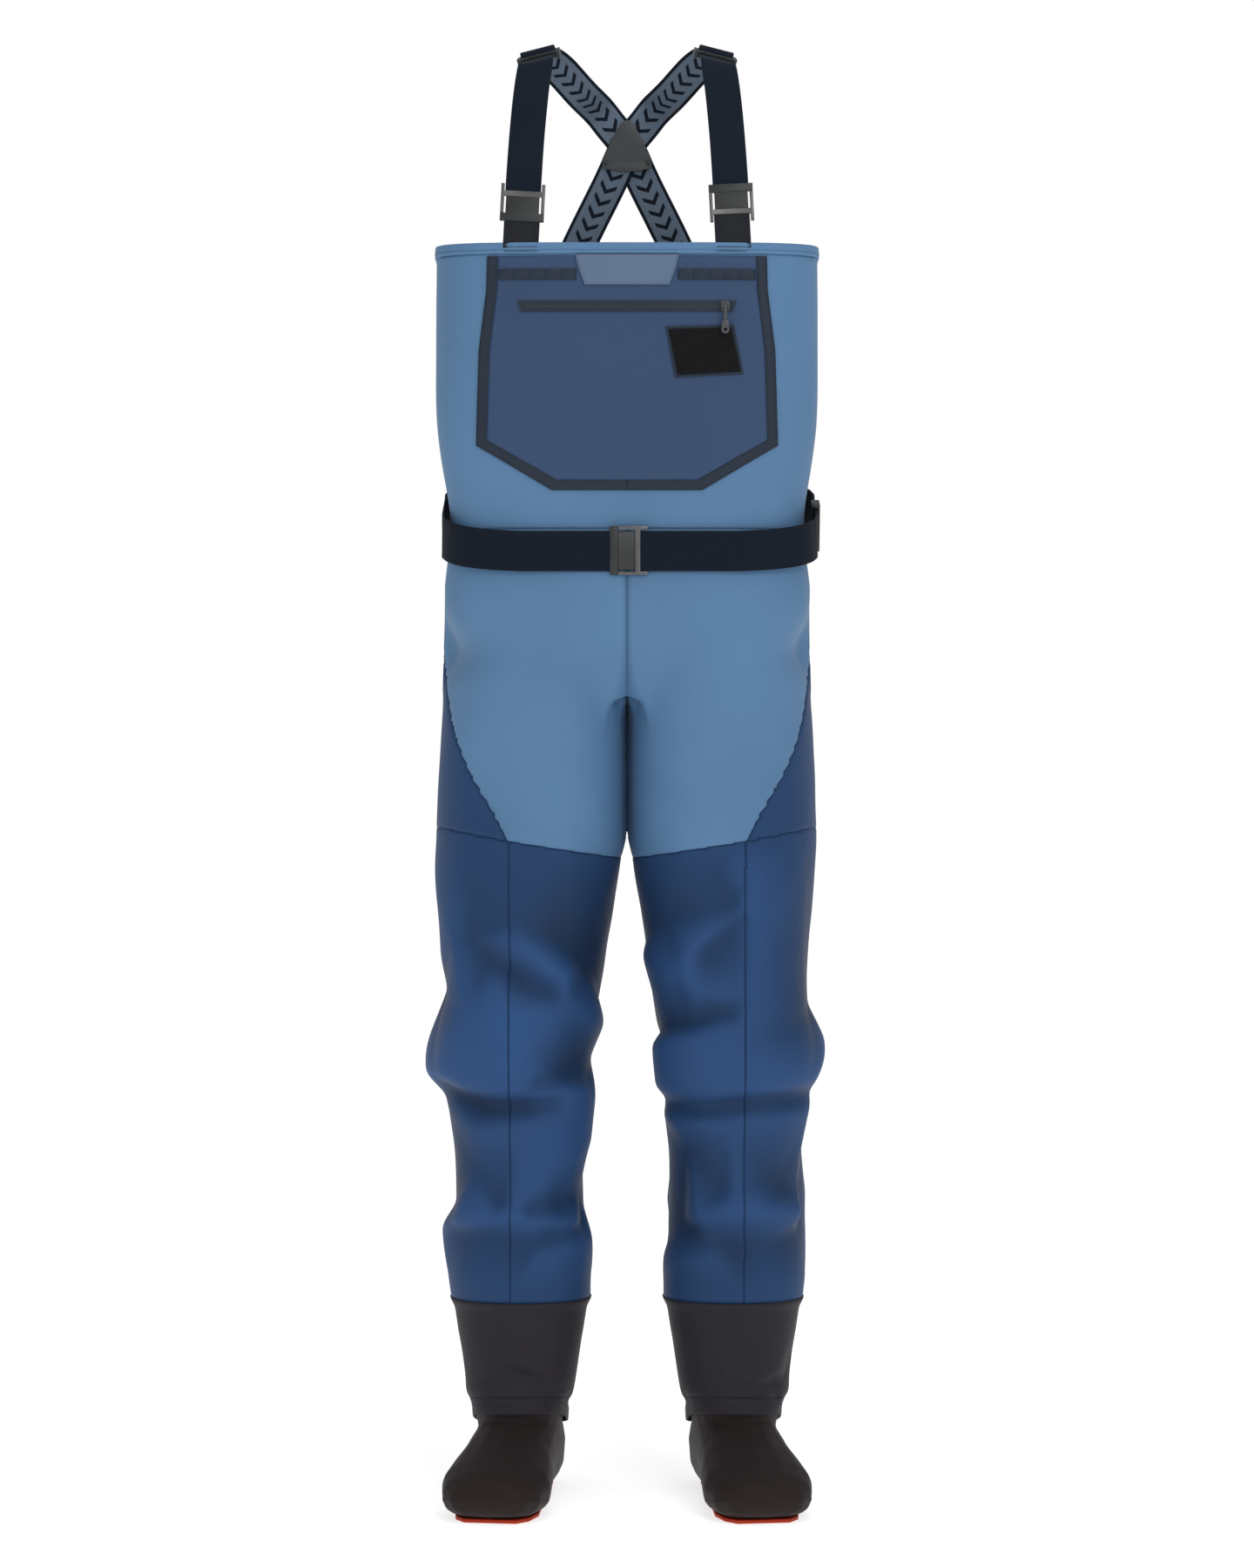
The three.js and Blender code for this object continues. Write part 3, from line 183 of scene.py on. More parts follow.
def weave_group():
    """Plain weave: threads a pitch apart that go over and under in turn."""
    if "plain_weave" in bpy.data.node_groups:
        return bpy.data.node_groups["plain_weave"]
    tree, given, made = shader_group(
        "plain_weave", [("Vector", VECTOR, None), ("Pitch", NUMBER, 0.0006)], [("Height", NUMBER)]
    )
    parts = node(tree, "ShaderNodeSeparateXYZ", {0: given["Vector"]}).outputs
    turns = math_node(tree, "DIVIDE", math.pi, given["Pitch"])
    across = math_node(tree, "SINE", math_node(tree, "MULTIPLY", parts[0], turns))
    along = math_node(tree, "SINE", math_node(tree, "MULTIPLY", parts[1], turns))
    product = math_node(tree, "MULTIPLY", across, along)
    tree.links.new(math_node(tree, "MULTIPLY_ADD", product, 0.5, 0.5), made["Height"])
    return tree


def mottle_group():
    """Uneven dye and dust: a colour that drifts lighter and darker over the surface."""
    if "uneven_dye" in bpy.data.node_groups:
        return bpy.data.node_groups["uneven_dye"]
    tree, given, made = shader_group(
        "uneven_dye",
        [
            ("Vector", VECTOR, None), ("Colour", COLOUR, None),
            ("Scale", NUMBER, 9.0), ("Amount", NUMBER, 0.2),
        ],
        [("Colour", COLOUR), ("Mask", NUMBER)],
    )
    broad = node(
        tree, "ShaderNodeTexNoise", {"Vector": given["Vector"], "Scale": given["Scale"], "Detail": 3.0}
    )
    fine_scale = math_node(tree, "MULTIPLY", given["Scale"], 60.0)
    fine = node(
        tree, "ShaderNodeTexNoise", {"Vector": given["Vector"], "Scale": fine_scale, "Detail": 2.0}
    )
    both = math_node(tree, "MULTIPLY_ADD", fine.outputs[0], 0.35, broad.outputs[0])
    drift = math_node(tree, "SUBTRACT", both, 0.675)
    gain = math_node(tree, "MULTIPLY_ADD", drift, given["Amount"], 1.0)
    tinted = node(
        tree, "ShaderNodeVectorMath", {0: given["Colour"], "Scale": gain}, operation="SCALE"
    )
    tree.links.new(tinted.outputs[0], made["Colour"])
    tree.links.new(broad.outputs[0], made["Mask"])
    return tree


def new_material(name, shader):
    """A material with a bare Principled shader; shader maps its sockets to plain values."""
    material = bpy.data.materials.new(name)
    material.use_nodes = True
    tree = material.node_tree
    tree.nodes.clear()
    principled = node(tree, "ShaderNodeBsdfPrincipled", shader)
    node(tree, "ShaderNodeOutputMaterial", {"Surface": principled.outputs[0]})
    return material, tree, principled.inputs


def rgba(value):
    return (*value, 1.0)


def dyed(tree, value, vector, scale, amount):
    made = node(tree, "ShaderNodeGroup", node_tree=mottle_group())
    made.inputs["Colour"].default_value = rgba(value)
    made.inputs["Scale"].default_value = scale
    made.inputs["Amount"].default_value = amount
    tree.links.new(vector, made.inputs["Vector"])
    return made.outputs


def woven(tree, vector, pitch):
    return node(
        tree, "ShaderNodeGroup", {"Vector": vector, "Pitch": pitch}, node_tree=weave_group()
    ).outputs[0]


def bump(tree, height, distance, strength=1.0):
    made = node(
        tree, "ShaderNodeBump", {"Height": height, "Distance": distance, "Strength": strength}
    )
    return made.outputs[0]


def vary_roughness(tree, mask, middle, spread):
    return math_node(tree, "MULTIPLY_ADD", mask, spread, middle - spread / 2)


def mix_colour(tree, share, first, second):
    made = node(tree, "ShaderNodeMix", {0: share}, data_type="RGBA")
    for socket, value in ((made.inputs[6], first), (made.inputs[7], second)):
        if isinstance(value, bpy.types.NodeSocket):
            tree.links.new(value, socket)
        else:
            socket.default_value = rgba(value)
    return made.outputs[2]


def kept(name, make, *values):
    """This script's material for a slot, made the first time it is wanted. Its prefix keeps it
    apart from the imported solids' own materials, which are named after their slots."""
    name = f"wader_{name}"
    return bpy.data.materials.get(name) or make(name, *values)


# ---------------------------------------------------------------- materials
def shell_cloth(name, value):
    """Laminated shell cloth: a fine weave, paler along the ridges of its folds (worn coating and painted
    highlight) and darker in the folds (painted shade).
    """
    shader = {"Sheen Weight": 0.06, "Sheen Roughness": 0.4, "Specular IOR Level": 0.2}
    material, tree, principled = new_material(name, shader)
    uv = node(tree, "ShaderNodeUVMap", uv_map="UVMap").outputs[0]
    place = node(tree, "ShaderNodeTexCoord").outputs["Object"]
    base = dyed(tree, value, place, 7.0, 0.16)
    # The fold depth scales the colour: painted shade in the folds, and wear of the coating plus painted
    # highlight on the ridges.
    ridge = node(tree, "ShaderNodeAttribute", attribute_name="ridge").outputs["Fac"]
    gain = math_node(tree, "MULTIPLY_ADD", ridge, 0.55, 1.0)
    worn_and_fold_shaded = node(
        tree, "ShaderNodeVectorMath", {0: base[0], "Scale": gain}, operation="SCALE"
    ).outputs[0]
    tree.links.new(worn_and_fold_shaded, principled["Base Color"])
    tree.links.new(vary_roughness(tree, base[1], 0.62, 0.16), principled["Roughness"])
    tree.links.new(bump(tree, woven(tree, uv, 0.7 * MM), 0.05 * MM, 0.5), principled["Normal"])
    return material


def webbing_cloth(name, value, rib):
    """Woven webbing: ribs across the strap over a fine twill."""
    shader = {"Sheen Weight": 0.03, "Sheen Roughness": 0.4, "Specular IOR Level": 0.12}
    material, tree, principled = new_material(name, shader)
    uv = node(tree, "ShaderNodeUVMap", uv_map="UVMap").outputs[0]
    base = dyed(tree, value, uv, 40.0, 0.35)
    parts = node(tree, "ShaderNodeSeparateXYZ", {0: uv}).outputs
    wave = math_node(tree, "SINE", math_node(tree, "MULTIPLY", parts[1], 2 * math.pi / rib))
    height = math_node(tree, "MULTIPLY_ADD", wave, 0.6, woven(tree, uv, 0.9 * MM))
    tree.links.new(base[0], principled["Base Color"])
    tree.links.new(vary_roughness(tree, base[1], 0.72, 0.15), principled["Roughness"])
    tree.links.new(bump(tree, height, 0.12 * MM), principled["Normal"])
    return material


def printed_cloth(name, ground, edge):
    """Elastic webbing with dark selvedges and a plain row of chevrons down the middle."""
    shader = {"Sheen Weight": 0.03, "Sheen Roughness": 0.4, "Specular IOR Level": 0.12}
    material, tree, principled = new_material(name, shader)
    uv = node(tree, "ShaderNodeUVMap", uv_map="UVMap").outputs[0]
    parts = node(tree, "ShaderNodeSeparateXYZ", {0: uv}).outputs
    off_middle = math_node(tree, "ABSOLUTE", parts[0])
    leaning = math_node(tree, "MULTIPLY_ADD", off_middle, 0.9, parts[1])
    phase = math_node(tree, "FRACT", math_node(tree, "DIVIDE", leaning, 15.5 * MM))
    bar = math_node(tree, "LESS_THAN", phase, 0.36)
    inside = math_node(tree, "LESS_THAN", off_middle, 9.5 * MM)
    figure = math_node(tree, "MULTIPLY", bar, inside)
    selvedge = math_node(tree, "GREATER_THAN", off_middle, 15.4 * MM)
    dark = math_node(tree, "MAXIMUM", figure, selvedge)
    base = dyed(tree, ground, uv, 40.0, 0.25)
    tree.links.new(mix_colour(tree, dark, base[0], edge), principled["Base Color"])
    wave = math_node(tree, "SINE", math_node(tree, "MULTIPLY", parts[1], 2 * math.pi / (1.5 * MM)))
    height = math_node(tree, "MULTIPLY_ADD", wave, 0.6, woven(tree, uv, 0.9 * MM))
    tree.links.new(vary_roughness(tree, base[1], 0.7, 0.15), principled["Roughness"])
    tree.links.new(bump(tree, height, 0.10 * MM), principled["Normal"])
    return material


def knit_face(name, value, scale, depth):
    """Neoprene with a jersey face: fine loops and soft handling marks."""
    shader = {"Sheen Weight": 0.04, "Sheen Roughness": 0.4, "Specular IOR Level": 0.15}
    material, tree, principled = new_material(name, shader)
    place = node(tree, "ShaderNodeTexCoord").outputs["Object"]
    base = dyed(tree, value, place, 12.0, 0.3)
    loops = node(tree, "ShaderNodeTexVoronoi", {"Vector": place, "Scale": scale}).outputs[0]
    tree.links.new(base[0], principled["Base Color"])
    tree.links.new(vary_roughness(tree, base[1], 0.66, 0.2), principled["Roughness"])
    tree.links.new(bump(tree, loops, depth), principled["Normal"])
    return material


def bonded_tape(name, value):
    """Smooth bonded tape with a slight grain."""
    material, tree, principled = new_material(name, {"Specular IOR Level": 0.15})
    place = node(tree, "ShaderNodeTexCoord").outputs["Object"]
    base = dyed(tree, value, place, 18.0, 0.3)
    grain = node(tree, "ShaderNodeTexNoise", {"Vector": place, "Scale": 1500.0}).outputs[0]
    tree.links.new(base[0], principled["Base Color"])
    tree.links.new(vary_roughness(tree, base[1], 0.52, 0.15), principled["Roughness"])
    tree.links.new(bump(tree, grain, 0.04 * MM), principled["Normal"])
    return material


def hard_finish(name, value, roughness, metallic, grain):
    """Anodised metal or moulded plastic: a satin face with fine grain and rubbed spots."""
    shader = {"Metallic": metallic, "Specular IOR Level": 0.5}
    material, tree, principled = new_material(name, shader)
    place = node(tree, "ShaderNodeTexCoord").outputs["Object"]
    base = dyed(tree, value, place, 60.0, 0.35)
    fine = node(
        tree, "ShaderNodeTexNoise", {"Vector": place, "Scale": grain, "Detail": 4.0}
    ).outputs[0]
    tree.links.new(base[0], principled["Base Color"])
    tree.links.new(vary_roughness(tree, base[1], roughness, 0.2), principled["Roughness"])
    tree.links.new(bump(tree, fine, 0.03 * MM), principled["Normal"])
    return material


def looped_foam(name, value):
    """Fuzzy loop face of the fly patch."""
    shader = {"Sheen Weight": 0.08, "Sheen Roughness": 0.6, "Specular IOR Level": 0.08}
    material, tree, principled = new_material(name, shader)
    place = node(tree, "ShaderNodeTexCoord").outputs["Object"]
    base = dyed(tree, value, place, 90.0, 0.9)
    fuzz = node(
        tree, "ShaderNodeTexNoise", {"Vector": place, "Scale": 1100.0, "Detail": 5.0}
    ).outputs[0]
    tree.links.new(base[0], principled["Base Color"])
    tree.links.new(vary_roughness(tree, base[1], 0.9, 0.1), principled["Roughness"])
    tree.links.new(bump(tree, fuzz, 0.5 * MM), principled["Normal"])
    return material


def finish(slot):
    """The material of one of the record's slots, or of the lining, sewing thread or bright bars."""
    c = colours()
    makers = {
        "upper_fabric": (shell_cloth, c.upper),
        "lower_fabric": (shell_cloth, c.lower),
        "pocket_fabric": (shell_cloth, c.pocket),
        "lining": (shell_cloth, c.lining),
        "binding_tape": (bonded_tape, c.tape),
        "strap_webbing": (webbing_cloth, c.webbing, 1.5 * MM),
        "ribbed_webbing": (webbing_cloth, c.ribbed, 1.9 * MM),
        "printed_webbing": (printed_cloth, c.printed, c.webbing),
        "neoprene_guard": (knit_face, c.guard, 900.0, 0.12 * MM),
        "neoprene_bootie": (knit_face, c.bootie, 1100.0, 0.08 * MM),
        "sole_rubber": (bonded_tape, c.sole),
        "buckle_metal": (hard_finish, c.metal, 0.42, 0.6, 900.0),
        "bright_bar": (hard_finish, c.bar, 0.34, 0.8, 900.0),
        "moulded_plastic": (hard_finish, c.moulded, 0.45, 0.0, 1400.0),
        "patch_foam": (looped_foam, c.patch),
        "tab_fabric": (shell_cloth, c.tab),
        "dark_thread": (bonded_tape, c.tape),
        "upper_thread": (bonded_tape, tuple(v * 0.62 for v in c.upper)),
        "lower_thread": (bonded_tape, tuple(v * 0.55 for v in c.lower)),
    }
    make, *values = makers[slot]
    return kept(slot, make, *values)


# ---------------------------------------------------------------- making pieces
def new_piece(name, vertices, faces, slot, body="root", stands_for=(), uv=None, smooth=True):
    """A mesh piece that rides on a body, takes a slot's finish and stands for some CAD nodes."""
    mesh = bpy.data.meshes.new(name)
    mesh.from_pydata([tuple(v) for v in vertices], [], faces)
    if uv is not None:
        layer = mesh.uv_layers.new(name="UVMap")
        corners = np.zeros(len(mesh.loops), np.int32)
        mesh.loops.foreach_get("vertex_index", corners)
        layer.data.foreach_set("uv", np.asarray(uv, np.float32)[corners].ravel())
    return settle(mesh, name, slot, body, stands_for, smooth)


def settle(mesh, name, slot, body, stands_for, smooth=True):
    piece = bpy.data.objects.new(name, mesh)
    bpy.context.scene.collection.objects.link(piece)
    if not mesh.materials:
        mesh.materials.append(finish(slot))
    mesh.polygons.foreach_set("use_smooth", [smooth] * len(mesh.polygons))
    if body is not None:
        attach(piece, body)
    if stands_for:
        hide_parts(*stands_for)
    return piece


def thicken(piece, thickness, offset=-1.0, lining=None):
    """Gives a sheet its thickness; lining is the finish of its other face."""
    made = piece.modifiers.new("thickness", "SOLIDIFY")
    made.thickness = thickness
    made.offset = offset
    made.use_even_offset = False
    if lining:
        piece.data.materials.append(finish(lining))
        made.material_offset = 1
    return piece


def grid_faces(rows, columns, closed=False):
    """Quads of a grid whose vertices run along its rows; closed joins each row's ends."""
    faces = []
    span = columns if closed else columns - 1
    for i in range(rows - 1):
        for j in range(span):
            k = (j + 1) % columns
            faces.append(
                (i * columns + j, i * columns + k, (i + 1) * columns + k, (i + 1) * columns + j)
            )
    return faces


def tree_of(*names):
    """The faces of some CAD nodes, for finding where their outside is."""
    vertices, faces = [], []
    for name in names:
        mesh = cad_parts[name].data
        start = len(vertices)
        vertices += [v.co.copy() for v in mesh.vertices]
        faces += [[start + i for i in p.vertices] for p in mesh.polygons]
    return BVHTree.FromPolygons(vertices, faces)


def blurred(values, sigma, closed=False):
    """Gaussian smoothing along the first axis; the ends of an open row are held."""
    reach = max(1, int(3 * sigma))
    weights = np.exp(-0.5 * (np.arange(-reach, reach + 1) / sigma) ** 2)
    weights /= weights.sum()
    padding = [(reach, reach)] + [(0, 0)] * (values.ndim - 1)
    if closed:
        padded = np.pad(values, padding, mode="wrap")
    else:
        padded = np.pad(values, padding, mode="reflect", reflect_type="odd")
    return sum(w * padded[k : k + len(values)] for k, w in enumerate(weights))


def finished_copy(node_name, slot, body, bevel=0.5 * MM, segments=2, name=None):
    """A CAD node's hardware with its edges rounded over."""
    mesh = bpy.data.meshes.new(node_name + "_finished")
    work = bmesh.new()
    work.from_mesh(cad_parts[node_name].data)
    bmesh.ops.remove_doubles(work, verts=work.verts, dist=0.01 * MM)
    bmesh.ops.dissolve_limit(
        work, angle_limit=math.radians(1), verts=work.verts, edges=work.edges, delimit=set()
    )
    sharp = [
        e for e in work.edges if len(e.link_faces) == 2 and e.calc_face_angle(0) > math.radians(32)
    ]
    if bevel:
        bmesh.ops.bevel(
            work, geom=sharp, offset=bevel, segments=segments, profile=0.6,
            affect="EDGES", clamp_overlap=True,
        )
    work.to_mesh(mesh)
    work.free()
    piece = settle(mesh, name or node_name + "_finished", slot, body, [node_name])
    mesh.set_sharp_from_angle(angle=math.radians(35))
    return piece


# ---------------------------------------------------------------- folds
# Creases of each lower leg as rows of (degrees round the leg, height, depth): degrees run from 0 in
# front to 90 on the outer side and -90 on the inner one, heights and depths are in millimetres, and
# a depth below 0 is a valley. The cloth runs straight from one crease to the next.
LEG_CREASES = {
    "right": [
        [(6, 620, -3), (-19, 605, -9), (-43, 575, -11), (-87, 520, -8)],
        [(37, 605, -4), (24, 585, -8), (5, 565, -10), (-18, 550, -7)],
        [(-7, 450, -6), (-29, 455, -9), (-58, 450, -6)],
        [(56, 447, -8), (38, 430, -13), (20, 424, -13), (-2, 424, -11), (-20, 425, -5)],
        [(-48, 485, -8), (-88, 470, -8)],
        [(37, 360, -3), (18, 322, -6)],
        [(-6, 312, -6), (-33, 315, -10), (-68, 325, -9)],
        [(55, 289, -5), (23, 289, -4)],
        [(-9, 274, -6), (-35, 284, -8), (-69, 291, -7)],
        [(11, 612, 6), (-4, 592, 9), (-21, 565, 9)],
        [(45, 605, 5), (32, 525, 7), (18, 452, 8)],
        [(17, 560, 5), (5, 530, 9), (-1, 490, 9), (-5, 457, 8)],
        [(-26, 530, 4), (-84, 508, 2)],
        [(-9, 443, 8), (-31, 444, 8), (-63, 439, 5)],
        [(84, 458, 12), (60, 456, 10), (39, 450, 10), (19, 445, 10), (-2, 444, 8)],
        [(34, 405, 4), (-2, 410, 5), (-37, 424, 5)],
        [(30, 395, 4), (1, 390, 5), (4, 320, 6)],
        [(-65, 385, 5), (-31, 360, 5), (-8, 330, 5)],
        [(90, 290, 6), (55, 298, 8), (23, 304, 9), (-8, 304, 8), (-44, 296, 6)],
        [(-12, 264, 3), (-38, 274, 4), (-76, 276, 4)],
        [(75, 545, -12), (110, 552, -9), (150, 560, -5)],
        [(95, 487, 10), (125, 490, 7)],
        [(80, 432, -7), (120, 430, -11), (160, 436, -9)],
        [(78, 311, -11), (115, 313, -9), (150, 318, -6)],
    ],
    "left": [
        [(-19, 690, -2), (-7, 675, -4), (5, 640, -6)],
        [(-81, 597, -5), (-41, 625, -6), (-10, 640, -5)],
        [(-16, 594, -6), (-1, 615, -7), (8, 632, -5)],
        [(-69, 500, -10), (-29, 514, -10), (0, 530, -7)],
        [(-79, 430, -7), (-31, 419, -9), (3, 427, -10), (25, 430, -10), (60, 437, -8)],
        [(-88, 410, -3), (-42, 375, -5), (-10, 336, -6)],
        [(-90, 311, -6), (-53, 297, -9), (-34, 290, -9)],
        [(29, 345, -6), (41, 335, -9), (67, 331, -6)],
        [(-26, 284, -5), (-4, 273, -8)],
        [(24, 276, -4), (67, 290, -7)],
        [(12, 672, 6), (7, 640, 8), (-11, 607, 9), (-24, 582, 9), (-25, 560, 7)],
        [(-71, 585, 3), (-33, 571, 6), (-20, 551, 7), (0, 541, 6)],
        [(-64, 492, 6), (-17, 505, 6), (6, 512, 5)],
        [(14, 622, 5), (13, 555, 5), (4, 492, 5), (-2, 446, 6)],
        [(-73, 442, 5), (-2, 442, 7), (25, 446, 8), (53, 450, 7)],
        [(-46, 410, 5), (3, 414, 5), (57, 420, 4)],
        [(-1, 398, 4), (2, 332, 5)],
        [(-29, 305, 6), (-7, 315, 8), (17, 316, 8), (64, 307, 6)],
        [(-83, 256, 2), (-18, 262, 3)],
        [(74, 530, -12), (110, 535, -9), (150, 545, -5)],
        [(88, 490, 7), (125, 492, 6)],
        [(82, 437, -8), (120, 432, -11), (160, 438, -9)],
        [(-84, 280, -6), (-120, 284, -8)],
    ],
}
# Behind, both legs buckle below the seat and in the hollow of the knee.
BACK_CREASES = [
    [(-160, 560, -6), (180, 548, -9), (150, 560, -6)],
    [(-150, 520, 6), (178, 512, 8), (145, 522, 6)],
    [(-140, 470, -8), (175, 462, -11), (150, 470, -8)],
    [(-150, 425, 6), (180, 415, 7), (150, 420, 5)],
    [(-120, 380, -5), (-160, 366, -8), (165, 372, -5)],
    [(-140, 320, 5), (180, 316, 7), (150, 322, 5)],
    [(-120, 290, -6), (-165, 282, -8), (165, 284, -6)],
]
CREASE_RADIUS = 0.092  # of the leg, for the distance between two creases


def crease_field(creases, still):
    """A function of (degrees, height in millimetres) giving the fold depth, in metres. still lists
    the heights where the cloth lies flat."""

    def flat(angle, height):
        return Vector((math.radians(angle) * CREASE_RADIUS, height * MM))

    points, depths, edges = [], [], []
    for turn in (-360, 0, 360):
        for crease in creases:
            previous = None
            for angle, height, depth in unwrapped(crease):
                points.append(flat(angle + turn, height))
                depths.append(depth * MM)
                if previous is not None:
                    edges.append((previous, len(points) - 1))
                previous = len(points) - 1
    for height in still:
        for angle in range(-540, 541, 20):
            points.append(flat(angle, height))
            depths.append(0.0)
    corners, _, triangles, sources, _, _ = delaunay_2d_cdt(points, edges, [], 0, 1e-5)
    heights = [
        np.mean([depths[k] for k in source]) if source else 0.0 for source in sources
    ]
    for k, source in enumerate(sources):
        if not source:
            nearest = min(range(len(points)), key=lambda m: (points[m] - corners[k]).length)
            heights[k] = depths[nearest]
    sheet = BVHTree.FromPolygons([(c.x, c.y, d) for c, d in zip(corners, heights)], triangles)

    def depth_at(angle, height):
        hit = sheet.ray_cast((*flat(angle, height), 1.0), (0, 0, -1))[0]
        return hit.z if hit else 0.0

    return depth_at


def unwrapped(crease):
    """A crease's points with angles that don't jump at the back of the leg."""
    made = []
    for angle, height, depth in crease:
        if made:
            angle += 360 * round((made[-1][0] - angle) / 360)
        made.append((angle, height, depth))
    return made


# ---------------------------------------------------------------- the shell's surface
ANKLE_X = (low("left_gravel_guard").x + high("left_gravel_guard").x) / 2
LEG_HEM_Z = low("left_inner_shin").z
CROTCH_Z = z_at(864)
WAIST_SEAM_Z = low("bib_front").z
TOP_Z = high("bib_back").z
HEM_TOP_Z = high("top_hem_front").z
OUTER_COLUMNS = 118
INNER_COLUMNS = 38


def leg_middle(z):
    """x of the line that a leg's cross sections are measured round."""
    return float(
        np.interp(z, [z_at(212), z_at(690), z_at(866), 0], [ANKLE_X, 0.107, 0.1035, 0.100])
    )


def ray_out(tree, middle, angle, z):
    """The outermost point of the +X half in one direction; directions inwards stop at x = 0."""
    way = Vector((math.sin(angle), -math.cos(angle), 0))
    reach = 0.4
    if way.x < -1e-6:
        reach = min(reach, middle / -way.x)
    start = Vector((middle, 0, z)) + way * reach
    hit = tree.ray_cast(start, -way, reach)[0]
    return hit if hit and hit.x > 0 else start


def ray_depth(angle):
    """About how far behind the middle the shell's rim is in one direction."""
    return -math.copysign(min(1, abs(math.cos(angle)) * 1.6), math.cos(angle)) * 0.124


def half_shell():
    """Grid of the +X half of the shell before its folds: rows upwards, columns from the front's
    middle round the outer side to the back's middle and on along the inside of the leg."""
    panels = ["thigh_front", "seat", "side_panel", "inner_shin", "outer_shin"]
    tree = tree_of("bib_front", "bib_back", *[f"left_{panel}" for panel in panels])
    step = sizes().grid
    leg_rows = np.linspace(LEG_HEM_Z, CROTCH_Z, round((CROTCH_Z - LEG_HEM_Z) / step) + 1)
    top_rows = np.linspace(CROTCH_Z, TOP_Z, round((TOP_Z - CROTCH_Z) / step) + 1)
    heights = np.concatenate([leg_rows, top_rows[1:]])
    crotch = len(leg_rows) - 1

    def middle_y(z, way):
        hit = tree.ray_cast(Vector((1.0 * MM, -way, z)), Vector((0, way, 0)))[0]
        return hit.y

    count = OUTER_COLUMNS + INNER_COLUMNS
    grid = np.zeros((len(heights), count, 3))
    angles = np.zeros((len(heights), count))
    for i, z in enumerate(heights):
        z_probe = max(z, CROTCH_Z + 0.03)
        middle = leg_middle(z)
        front_y = middle_y(min(z_probe, hem_plane_z(-0.124, 18 * MM)), 1)
        back_y = middle_y(min(z_probe, hem_plane_z(0.124, 18 * MM)), -1)
        start = math.atan2(-middle, -front_y)
        end = math.atan2(-middle, -back_y)
        outer = np.linspace(start, end + 2 * math.pi, OUTER_COLUMNS)
        inner = np.linspace(end, start, INNER_COLUMNS + 2)[1:-1]
        angles[i] = np.concatenate([outer, inner])
        for j, angle in enumerate(angles[i]):
            under_rim = hem_plane_z(ray_depth(angle), 18 * MM)
            grid[i, j] = ray_out(tree, middle, angle, min(max(z, LEG_HEM_Z + 1e-4), under_rim))
        grid[i, :, 2] = z
    return grid, angles, heights, crotch


def smoothed_shell(grid, crotch):
    """Takes the frame's facets out, keeping the middle of the body at x = 0."""
    made = grid.copy()
    last = OUTER_COLUMNS - 1
    for i in range(len(grid)):
        if i < crotch:
            made[i, :, :2] = blurred(grid[i, :, :2], 3.0, closed=True)
        else:
            half = grid[i, : last + 1, :2]
            mirror = half[-2:0:-1] * (-1, 1)
            whole = blurred(np.concatenate([half, mirror]), 2.6, closed=True)
            made[i, : last + 1, :2] = whole[: last + 1]
    upright = made.copy()
    upright[:, : last + 1, :2] = blurred(made[:, : last + 1, :2], 4.0)
    upright[: crotch + 1, last + 1 :, :2] = blurred(made[: crotch + 1, last + 1 :, :2], 3.0)
    upright[crotch:, 0, 0] = 0
    upright[crotch:, last, 0] = 0
    level_hips(upright, last)
    close_thighs(upright[:crotch])
    inside = np.linspace(upright[crotch, last], upright[crotch, 0], INNER_COLUMNS + 2)[1:-1]
    upright[crotch, last + 1 :] = inside
    return upright


def level_hips(grid, last):
    """Draws the sides straight from the belt to the thighs, over the ends of the side panels."""
    heights = grid[:, 0, 2]
    widest = grid[:, : last + 1, 0].max(axis=1)
    rows = (heights > z_at(872)) & (heights < z_at(985))
    ends = (z_at(872), z_at(985))
    target = np.interp(heights, ends, np.interp(ends, heights, widest))
    for i in np.flatnonzero(rows):
        outer = grid[i, :, 0] > 0.12
        share = (target[i] - 0.12) / (widest[i] - 0.12)
        grid[i, outer, 0] = 0.12 + (grid[i, outer, 0] - 0.12) * min(1.0, share)


def close_thighs(grid):
    """Presses the backs of the thighs together below the crotch."""
    x, y, z = grid[..., 0], grid[..., 1], grid[..., 2]
    press = np.clip((z - z_at(690)) / 0.035, 0, 1) * np.exp(-(((y - 25 * MM) / (32 * MM)) ** 4))
    press *= np.clip((34 * MM - x) / (12 * MM), 0, 1)
    grid[..., 0] = x * (1 - press) - 1.5 * MM * press


def grid_normals(grid):
    """Outward normals of a grid that is closed along its rows."""
    around = np.roll(grid, -1, axis=1) - np.roll(grid, 1, axis=1)
    upward = np.gradient(grid, axis=0)
    normals = np.cross(around, upward)
    return normals / np.maximum(np.linalg.norm(normals, axis=2, keepdims=True), 1e-9)


